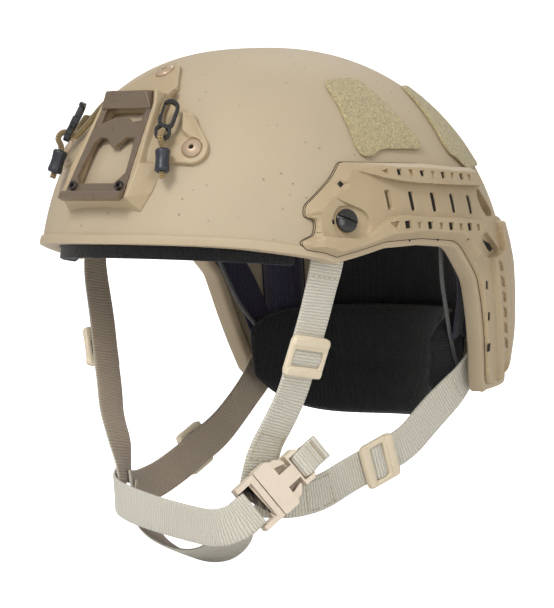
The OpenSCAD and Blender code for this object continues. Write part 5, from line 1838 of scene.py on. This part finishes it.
@dataclass
class FitSystem:
    """Nape pad, cradle, dial, laces and headbands."""

    centre_y: float = 48.0
    rx: float = 69.0
    ry: float = 58.0
    top: float = -20.0
    low: float = -80.0
    span: Size = (2.0, 178.0)
    pad_t: float = 12.0
    wing_fall: float = 12.0
    wing_rise: float = 24.0
    channel_at: float = 0.44
    channel_deep: float = 0.3
    piping_r: float = 0.8
    gap: float = 0.7
    cradle_t: float = 2.2
    cradle_span: Size = (52.0, 128.0)
    cradle_z: Size = (-72.0, -36.0)
    dial_z: float = -58.0
    dial_d: float = 30.0
    lace_r: float = 1.15
    headband: Size = (15.0, 1.2)
    lace_hung: tuple = (
        (38, 27, 6.3), (40.5, 17, 8.1), (45, 1, 11.9), (52, -17, 13.5), (63.4, -36, 15.2), (68.6, -49, 11.7),
    )
    lace_low: tuple = ((66, 84, -56), (52, 100, -58), (39, 109.5, -58), (29, 114.8, -58))
    headband_hung: tuple = (
        (40, 26, 3), (50, 14, 4), (57, 3, 4.9), (61.5, -10, 7.8), (63.5, -24, 11), (64.5, -31.5, 12.4),
    )
    headband_face: tuple = (
        [1, 0.1, 0.2], [1, 0.2, 0.2], [1, 0.3, 0.3], [1, 0.3, 0.3], [1, 0.35, 0.2], [1, 0.35, 0.1],
    )

    def nape_point(self, a: Array, z: Array, d: Array) -> Array:
        """Points of the U round the back of the head, which narrows downwards by a square law.

        Args:
            a: angles in radians, from 0 on the left to pi on the right.
            z: heights.
            d: how far outside the U the points lie.
        Returns:
            The points.
        """
        low = (self.top - z) / (self.top - self.low)
        inner = 1 - 0.11 * low * low
        x = (self.rx * inner + d) * np.cos(a)
        y = self.centre_y + (self.ry * inner + d) * np.sin(a)
        return np.stack(np.broadcast_arrays(x, y, z), axis=-1)

    def nape_pad(self) -> Pair:
        """Back and front grids of the nape pad, its wings lower at both ends."""
        u, v = np.meshgrid(eased(121), eased(33), indexing="ij")
        a = np.radians((self.span[0] + self.span[1]) / 2 + u * (self.span[1] - self.span[0]) / 2)
        wing = np.abs(u) ** 4
        top = self.top - self.wing_fall * wing * wing
        low = self.low + self.wing_rise * wing
        z = (top + low) / 2 + v * (top - low) / 2
        full = crowned(u, v)
        upright = np.exp(-((np.abs(u) - self.channel_at) / 0.02) ** 2)
        level = np.exp(-((v + 0.05) / 0.05) ** 2) * (np.abs(u) < self.channel_at)
        t = 1.2 + (self.pad_t / 2 - 1.2) * full * (1 - self.channel_deep * np.clip(upright + level, 0, 1))
        return self.nape_point(a, z, -t), self.nape_point(a, z, t)

    def cradle(self) -> Pair:
        """Back and front grids of the thin cradle behind the pad."""
        angles = np.radians(np.linspace(*self.cradle_span, 61))
        a, z = np.meshgrid(angles, np.linspace(*self.cradle_z, 19), indexing="ij")
        off = self.pad_t / 2 + self.gap
        return self.nape_point(a, z, off), self.nape_point(a, z, off + self.cradle_t)

    def dial_y(self) -> float:
        """Where the dial's housing begins, just behind the cradle."""
        back = self.pad_t / 2 + self.gap + self.cradle_t
        return float(self.nape_point(np.pi / 2, self.dial_z + self.dial_d / 2 - 2, back)[1]) + 0.3

    def knob(self) -> Form:
        """The dial: a disc whose rim is scalloped for grip, with a raised ring and a dished face."""
        angle = circle(240)
        grip = 1.1 * np.exp(-((np.mod(angle, np.pi / 6) - np.pi / 12) / 0.075) ** 2)
        profile = np.array([
            (0.3, 0.0, 0), (0.95, 0.0, 1), (1.0, 0.6, 1), (1.0, 7.4, 1), (0.97, 8.4, 1), (0.9, 9.0, 1),
            (0.78, 9.0, 0), (0.72, 8.3, 0), (0.3, 8.1, 0), (0.02, 8.0, 0),
        ])
        share, height, grips = profile.T[..., None]
        radius = self.dial_d / 2 * share - grip * grips
        level = np.broadcast_to(self.dial_y() + 5.3 + height, radius.shape)
        return loft(np.stack([radius * np.cos(angle), level, radius * np.sin(angle) + self.dial_z], axis=-1))

    def build(self, shop: Workshop) -> None:
        """Makes the fit system."""
        nape = Body.NAPE
        grids = self.nape_pad()
        pad = shop.make("nape_pad_cushion", cushion(*grids), KNIT, "nape_pad", nape, None)
        shop.make("nape_pad_piping", piping(*grids, self.piping_r), KNIT, "", nape, None)
        shop.make("nape_cradle_shell", cushion(*self.cradle()), DIAL, "nape_cradle", nape)
        shop.refined("dial_base", "dial_housing", DIAL, 0.8, body=nape)
        shop.make("dial_wheel", self.knob(), DIAL, "dial_knob", Body.DIAL, 35)
        hung = [SURFACE.in_wall(*p) for p in self.lace_hung]
        axle = self.dial_y() + 2.5
        route = [*hung, *self.lace_low, (23.5, axle, self.dial_z), (19, axle, self.dial_z)]
        lace = tube(resampled(flow(route), 1.0), self.lace_r)
        path = [SURFACE.in_wall(*p) for p in self.headband_hung]
        band = ribbon(path, self.headband_face, *self.headband, 8, 0.0)
        for side, (cord, strip) in both_sides(lace, band):
            shop.make(f"lace_cord_{side}", cord, LACE, f"lace_{side}", nape, None)
            shop.make(f"headband_strip_{side}", strip, NAVY, f"headband_{side}", sharp=50)


# Chin strap


@dataclass(frozen=True)
class Run:
    """The straight stretch of a strap that its slider rides on: its middle, direction and face."""

    mid: tuple
    way: tuple
    face: tuple

    def ends(self, half: float) -> list[Array]:
        """Both ends of the stretch, half its length from the middle."""
        way = half * unit(np.array(self.way))
        return [np.array(self.mid) - way, np.array(self.mid) + way]

    def matrix(self) -> Array:
        """Frame of the slider: x along the webbing, z outwards."""
        x, n = unit(np.array(self.way)), unit(np.array(self.face))
        z = unit(n - np.dot(n, x) * x)
        return frame_matrix(x, np.cross(z, x), z, np.array(self.mid))


@dataclass
class ChinStrap:
    """Webbing, sliders and the side-release buckle."""

    web: Size = (20.0, 1.8)
    front: Run = Run((76.0, -56.0, -31.5), (-10.5, -5.5, -33.5), (1.0, -0.16, -0.29))
    rear: Run = Run((68.1, 4.5, -93.0), (-6.5, -33.0, -12.0), (1.0, -0.15, -0.13))
    slider: Size = (22.0, 4.0)
    spare: float = 11.0
    buckle_c: tuple = (62.7, -73.2, -103.1)
    buckle_x: tuple = (12.0, 33.0, 25.0)
    buckle_z: tuple = (0.886, -0.438, 0.154)
    socket_bar: float = 25.5
    bar: Size = (3.0, 4.4)
    tab: float = 14.0
    tab_w: float = 13.8

    def front_route(self) -> Pair:
        """Route and face directions of the left front strap."""
        face = unit(np.array(self.front.face))
        path = [SURFACE.in_wall(-47, 28.6, 3.8), SURFACE.in_wall(-48.5, 18, 5), SURFACE.in_wall(-51, 4, 7.9),
                *self.front.ends(self.slider[0] / 2 + self.spare),
                [64.6, -64.1, -66], [55.5, -67.1, -80.5], [52.4, -67.8, -92.9], [50.6, -68.8, -103.2]]
        faces = [[1, -0.3, 0.1], [1, -0.26, -0.1], [1, -0.18, -0.25], face, face,
                 [1, -0.2, -0.3], [1, -0.2, -0.3], [1, -0.5, -0.2], [1, -0.6, -0.2]]
        return np.array(path, float), np.array(faces, float)

    def rear_route(self) -> Pair:
        """Route and face directions of the left rear strap."""
        face = unit(np.array(self.rear.face))
        path = [SURFACE.in_wall(73.5, -47, 3.9), SURFACE.in_wall(67, -53, 6.1),
                [75.4, 58, -61], [73.8, 45, -70.5],
                *self.rear.ends(self.slider[0] / 2 + self.spare),
                [63, -32, -106.4], [59.4, -48, -108.6], [53.6, -57.8, -108.2], [47.4, -66.8, -106.5]]
        faces = [[1, 0.46, 0], [1, 0.38, 0], [1, 0.2, 0.1], [1, 0, 0.05], face, face,
                 [1, -0.2, -0.1], [1, -0.35, -0.1], [1, -0.55, -0.15], [1, -0.6, -0.15]]
        return np.array(path, float), np.array(faces, float)

    def latch_point(self, x: float, z: float) -> Array:
        """A point in the buckle's own frame: x towards the socket's tab, z outwards."""
        return (self.buckle_matrix() @ [x, 0, z, 1])[:3]

    def chin_front(self) -> Pair:
        """Route and faces of the band in front of the chin."""
        z = unit(np.array(self.buckle_z))
        path = [[-60, -60.5, -103], [-56.7, -67.8, -105], [-51, -76, -108], [-41, -82, -110.5],
                [-26, -86.6, -112.8], [-8, -89.4, -114.8], [10, -91.6, -116.6], [26, -93.4, -118.2],
                [40, -95, -119.2], [51, -95.8, -118.6],
                self.latch_point(-21.5, 3.6), self.latch_point(-15.6, 2.8), self.latch_point(-10.5, 2.65)]
        faces = [[-1, -0.5, 0], [-1, -0.6, 0], [-1, -0.95, 0], [-0.6, -1, 0], [-0.3, -1, 0],
                 [-0.1, -1, -0.05], [0.1, -1, -0.1], [0.2, -1, -0.1], [0.4, -1, -0.1], [0.7, -0.8, 0],
                 [0.87, -0.5, 0.1], z, z]
        return np.array(path, float), np.array(faces, float)

    def chin_under(self) -> Pair:
        """Route and faces of the band under the chin."""
        z = unit(np.array(self.buckle_z))
        path = [[-49.6, -57.1, -107], [-45.7, -61.1, -116], [-39.6, -65, -126], [-27, -68, -134],
                [-9, -69.5, -138.6], [10, -71, -139], [26, -74, -135.5], [38, -76.5, -129.5],
                [47.5, -81.5, -123], self.latch_point(-21, -5), self.latch_point(-13.4, -1.4)]
        faces = [[-1, -0.6, -0.2], [-1, -0.5, -0.5], [-0.7, -0.4, -1], [-0.4, -0.4, -1], [0, -0.4, -1],
                 [0.2, -0.5, -1], [0.5, -0.6, -0.8], [0.7, -0.6, -0.6], [0.8, -0.6, -0.3], [0.87, -0.5, 0], z]
        return np.array(path, float), np.array(faces, float)

    def slider_form(self) -> Form:
        """Ladder slider: a frame with a window, its two cross bars raised, and a lip for the thumb."""
        length, thick = self.slider
        width = self.web[0] + 5
        z0 = self.web[1] / 2 + 0.3
        window = box_of((0.9, 0), 9.0, self.web[0] - 1.2, 1.0)
        frame = Plate(box_of((0, 0), length, width, 3.0), [window], z0, z0 + thick - 0.9, 0.8).form()
        for x in (-length / 2 + 3.4, length / 2 - 2.6):
            bar = Plate(box_of((x, 0), 4.4, width - 1.2, 1.4), [], z0 + 0.6, z0 + thick, 0.8).form()
            frame = frame.joined(bar)
        return frame

    def turn_form(self) -> Form:
        """The webbing's turn over the slider's bar: an arch of a cylinder in the window."""
        z0 = self.web[1] / 2 + 0.5
        span = np.radians(np.linspace(-41, 41, 15))
        face = np.stack([np.sin(span), np.zeros_like(span), np.cos(span)], axis=1)
        return ribbon([1, 0, z0 - 4.3] + 6.4 * face, face, self.web[0] - 1.6, 1.4, 0.1, 0.0)

    def stitched_box(self, route: Pair, start: float, end: float, lift: float) -> Form:
        """Two rows of stitches along a band, and two across it.

        Args:
            route: the band's route and faces.
            start, end: distances along the band between which they run.
            lift: how far they lie from the band's middle.
        Returns:
            The stitches.
        """
        path, t, side, up = band_frames(*route, 9.0, 1.0)
        half = self.web[0] / 2 - 2.2
        along = np.arange(start, end, 3.4)
        k = np.clip(along.astype(int), 0, len(path) - 1)
        rows = [path[k] + s * half * side[k] + lift * up[k] for s in (-1, 1)]
        ways = [t[k], t[k]]
        for at in (int(start), int(end)):
            at = min(max(at, 0), len(path) - 1)
            across = np.arange(-half + 1, half, 3.4)
            rows.append(path[at] + across[:, None] * side[at] + lift * up[at])
            ways.append(np.repeat(side[at][None], len(across), axis=0))
        return stitches(np.concatenate(rows), np.concatenate(ways))

    def buckle_matrix(self) -> Array:
        """The buckle's own frame."""
        x, z = unit(np.array(self.buckle_x)), unit(np.array(self.buckle_z))
        return frame_matrix(x, np.cross(z, x), z, np.array(self.buckle_c))

    def tab_form(self) -> Form:
        """Webbing led through the socket's slot, round its bar and back on itself."""
        t, x = self.web[1], self.socket_bar
        r = math.hypot(*self.bar) / 2 + 0.3 + t / 2
        turn = np.radians(np.arange(60, 301, 20))
        face = np.stack([np.cos(turn), np.zeros_like(turn), np.sin(turn)], axis=1)
        path = np.concatenate([
            [[x + self.tab, 0, t / 2 + 0.1], [x + r + 2.5, 0, t / 2 + 0.2]], [x, 0, 0] + r * face,
            [[x + r + 2.5, 0, -t / 2 - 0.2], [x + self.tab, 0, -t / 2 - 0.1]],
        ])
        face = np.concatenate([[[0, 0, 1]] * 2, face, [[0, 0, -1]] * 2])
        return ribbon(path, face, self.tab_w, t, 1.0, 0.0).placed(self.buckle_matrix())

    def zigzag(self) -> Form:
        """Two rows of zigzag stitching across the tab's end, on its outer side."""
        count = 18
        x = self.socket_bar + self.tab - 5 + np.tile([0.0, 2.2], count // 2)
        knots = np.stack([x, np.linspace(-6.0, 6.0, count), np.full(count, self.web[1] + 0.25)], axis=1)
        mid, way = (knots[1:] + knots[:-1]) / 2, knots[1:] - knots[:-1]
        mid = np.concatenate([mid, mid - [4.0, 0, 0]])
        return stitches(mid, np.concatenate([way, way]), 2.3, 0.3).placed(self.buckle_matrix())

    def build(self, shop: Workshop) -> None:
        """Makes the chin strap."""
        width, thick = self.web
        lift = thick / 2 + 0.1
        for place, route, ends in (
            ("front", self.front_route(), ((3, 20), (108, 122))),
            ("rear", self.rear_route(), ((3, 18), (118, 134))),
        ):
            sewn = reduce(Form.joined, (self.stitched_box(route, low, high, lift) for low, high in ends))
            for side, (strap, thread) in both_sides(ribbon(*route, width, thick), sewn):
                shop.make(f"{place}_webbing_{side}", strap, WEBBING, f"{place}_strap_{side}", sharp=60)
                shop.make(f"{place}_stitching_{side}", thread, THREAD, sharp=None, slot=WEBBING.name)
        for place, route, slimmer in (("front", self.chin_front(), 0), ("under", self.chin_under(), 1)):
            band = ribbon(*route, width - slimmer, thick)
            shop.make(f"chin_webbing_{place}", band, WEBBING, f"chin_band_{place}", sharp=60)
        frame, turn = self.slider_form(), self.turn_form()
        for place, run in (("front", self.front), ("rear", self.rear)):
            matrix = run.matrix()
            for side, (hard, soft) in both_sides(frame.placed(matrix), turn.placed(matrix)):
                body = Body(f"slider_{place[0]}{side[0]}")
                shop.make(f"slider_frame_{place}_{side}", hard, SLIDER, f"slider_{place}_{side}", body)
                shop.make(f"slider_turn_{place}_{side}", soft, WEBBING, "", body, 60)
        shop.refined("buckle_socket", "buckle_socket_shell", BUCKLE, 0.7, body=Body.BUCKLE)
        shop.refined("buckle_latch", "buckle_latch_shell", BUCKLE, 0.5)
        shop.make("buckle_tab_webbing", self.tab_form(), WEBBING, "buckle_tab", Body.BUCKLE, 60)
        shop.make("buckle_tab_stitching", self.zigzag(), THREAD, "", Body.BUCKLE, None, WEBBING.name)


# Retention cords


@dataclass
class ShockCords:
    """Snap hooks, elastic cords and their sleeves beside the shroud."""

    cord_d: float = 3.2
    sleeve_d: float = 8.0
    sleeve_waist: float = 0.45
    hook_l: float = 17.0

    def axes(self) -> tuple[Array, Array, Array]:
        """Place and directions of the left hook: x to its nose, z square to its plane."""
        x, n = unit(np.array([-0.085, 0.54, 0.84])), unit(np.array([0.75, -0.66, 0.3]))
        return np.array([35, SURFACE.front_y(35.0, 96.0, 11.0), 96.0]), x, unit(n - np.dot(n, x) * x)

    def sleeve_ends(self) -> Pair:
        """Lower and upper end of the left sleeve."""
        low = np.array([41.4, SURFACE.front_y(41.4, 67.0, 8.4), 67.0])
        high = np.array([39.0, SURFACE.front_y(39.0, 78.6, 9.8), 78.6])
        return low, high

    def strand(self) -> Array:
        """Centre line of the cord: above the lip, past the shroud, through the hook's eye, to the sleeve."""
        place, x, z = self.axes()
        eye = place - (self.hook_l / 2 + 2) * x
        low, high = self.sleeve_ends()
        top = ((20.8, 107.5, 2.8), (23.2, 103, 5.4), (25.4, 97, 6.2), (28.2, 91.5, 6.4))
        start = [[x_at, float(SURFACE.front_y(x_at, z_at, off)), z_at] for x_at, z_at, off in top]
        through = [eye - 4.4 * z + [0, 0, 0.8], eye - 2 * z, eye + 2 * z]
        past = eye + 3.9 * z
        return flow([*start, *through, past - 1.8 * x, past - 5 * x, high, low - 3 * unit(high - low)], 10)

    def sleeve_form(self) -> Form:
        """The shrunk sleeve: a tube slightly waisted between its ends, which are drawn in."""
        low, high = self.sleeve_ends()
        t = np.linspace(0, 1, 15)
        r = self.sleeve_d / 2 - self.sleeve_waist * np.sin(np.pi * t) ** 2
        r[[0, -1]] -= 0.9
        return tube(low + (high - low) * t[:, None], r, 24)

    def build(self, shop: Workshop) -> None:
        """Makes hooks, gates, cords and sleeves."""
        cord = tube(resampled(self.strand(), 0.8), self.cord_d / 2)
        for side, (line, cover) in both_sides(cord, self.sleeve_form()):
            shop.refined(f"snap_hook_{side}", f"hook_frame_{side}", HOOK, 0.7)
            gate = Body(f"gate_{side[0]}")
            shop.refined(f"hook_gate_{side}", f"hook_spring_gate_{side}", HOOK, 0.25, 2, gate)
            shop.make(f"elastic_cord_{side}", line, SHOCK, f"shock_cord_{side}", sharp=None)
            shop.make(f"shrink_sleeve_{side}", cover, SLEEVE, f"cord_sleeve_{side}", sharp=50)


# Studio


@dataclass
class Studio:
    """Camera, floor and lights."""

    azimuth: float = 45.0
    elevation: float = 3.69
    roll: float = -2.30
    distance: float = 1996.0
    focal_px: float = 3674.0
    sensor: float = 36.0
    image: Size = (554.0, 608.0)
    aim: Size = (273.1, 284.2)
    floor_z: float = -146.0
    glow: float = 0.8
    sky: float = 0.55
    lamps: tuple = (
        ("key", (0.7, -2.3, 2.3), 58.0, 1.1),
        ("fill", (2.6, -0.9, 0.9), 14.0, 1.6),
        ("rim", (-1.2, 2.2, 2.2), 16.0, 1.4),
    )

    def camera(self) -> None:
        """Sets the camera at the photograph's angle, with a small shift for its framing."""
        a, e, r = (math.radians(v) for v in (self.azimuth, self.elevation, self.roll))
        back = np.array([math.sin(a) * math.cos(e), -math.cos(a) * math.cos(e), math.sin(e)])
        right = np.array([math.cos(a), math.sin(a), 0.0])
        up = np.cross(back, right)
        level = right * math.cos(r) + up * math.sin(r)
        top = -right * math.sin(r) + up * math.cos(r)
        data = bpy.data.cameras.new("camera")
        data.sensor_width = self.sensor
        data.lens = self.focal_px / self.image[1] * self.sensor
        data.shift_x = (self.image[0] / 2 - self.aim[0]) / self.image[1]
        data.shift_y = -(self.image[1] / 2 - self.aim[1]) / self.image[1]
        data.clip_start, data.clip_end = 0.05, 50.0
        obj = put("camera", data)
        obj.matrix_world = Matrix(frame_matrix(level, top, back, back * self.distance * MM).tolist())
        bpy.context.scene.camera = obj

    def floor(self) -> None:
        """A pale floor that curves up far behind the object on every side, a quarter circle in section."""
        turn = np.linspace(0, np.pi / 2, 12)
        radius = np.concatenate([[0.001, 2600.0], 4200.0 + 1500.0 * np.sin(turn), [5700.0]])
        height = np.concatenate([[0.0, 0.0], 1500.0 * (1 - np.cos(turn)), [4500.0]]) + self.floor_z
        grid = swept(radius, height, 96)
        mesh = bpy.data.meshes.new("floor")
        faces = grid_quads(*grid.shape[:2], close_columns=True)
        mesh.from_pydata((grid.reshape(-1, 3) * MM).tolist(), [], faces.tolist())
        mesh.shade_smooth()
        paper = Surface("floor_paper", (0.88, 0.88, 0.88), 0.9, Specular_IOR_Level=0.0)
        paper.shader.inputs["Emission Color"].default_value = rgba((1.0, 1.0, 1.0))
        seen = paper.add("LightPath").outputs["Is Camera Ray"]
        paper.feed(paper.shader.inputs["Emission Strength"], paper.times(seen, self.glow))
        mesh.materials.append(paper.finish(paper.noise(400.0, 2.0), 0.05))
        put("floor", mesh)

    def light(self, name: str, at: tuple, power: float, size: float) -> None:
        """Hangs an area light that looks at the helmet.

        Args:
            name: its name.
            at: its place in metres.
            power: its power in watts.
            size: its width in metres.
        """
        data = bpy.data.lights.new(name, "AREA")
        data.energy = power
        data.size = size
        obj = put(name, data)
        obj.location = at
        obj.rotation_euler = (-Vector(at)).to_track_quat("-Z", "Y").to_euler()

    def build(self) -> None:
        """Sets the studio up."""
        self.camera()
        self.floor()
        world = bpy.data.worlds.new("studio")
        world.use_nodes = True
        background = world.node_tree.nodes["Background"].inputs
        background[0].default_value = rgba((1.0, 1.0, 1.0))
        background[1].default_value = self.sky
        bpy.context.scene.world = world
        bpy.context.scene.view_settings.view_transform = "Standard"
        for lamp in self.lamps:
            self.light(*lamp)


def main() -> None:
    """Builds everything in order."""
    logging.basicConfig(level=logging.INFO, format="%(name)s %(message)s")
    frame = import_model()
    shop = Workshop(frame, Effects(), {})
    Studio().build()
    for kind in (Shell, Rail, LoopPatches, Fasteners, Shroud, Padding, FitSystem, ChinStrap, ShockCords):
        kind().build(shop)
        LOG.info("%s done", kind.__name__)


if __name__ == "__main__":
    main()
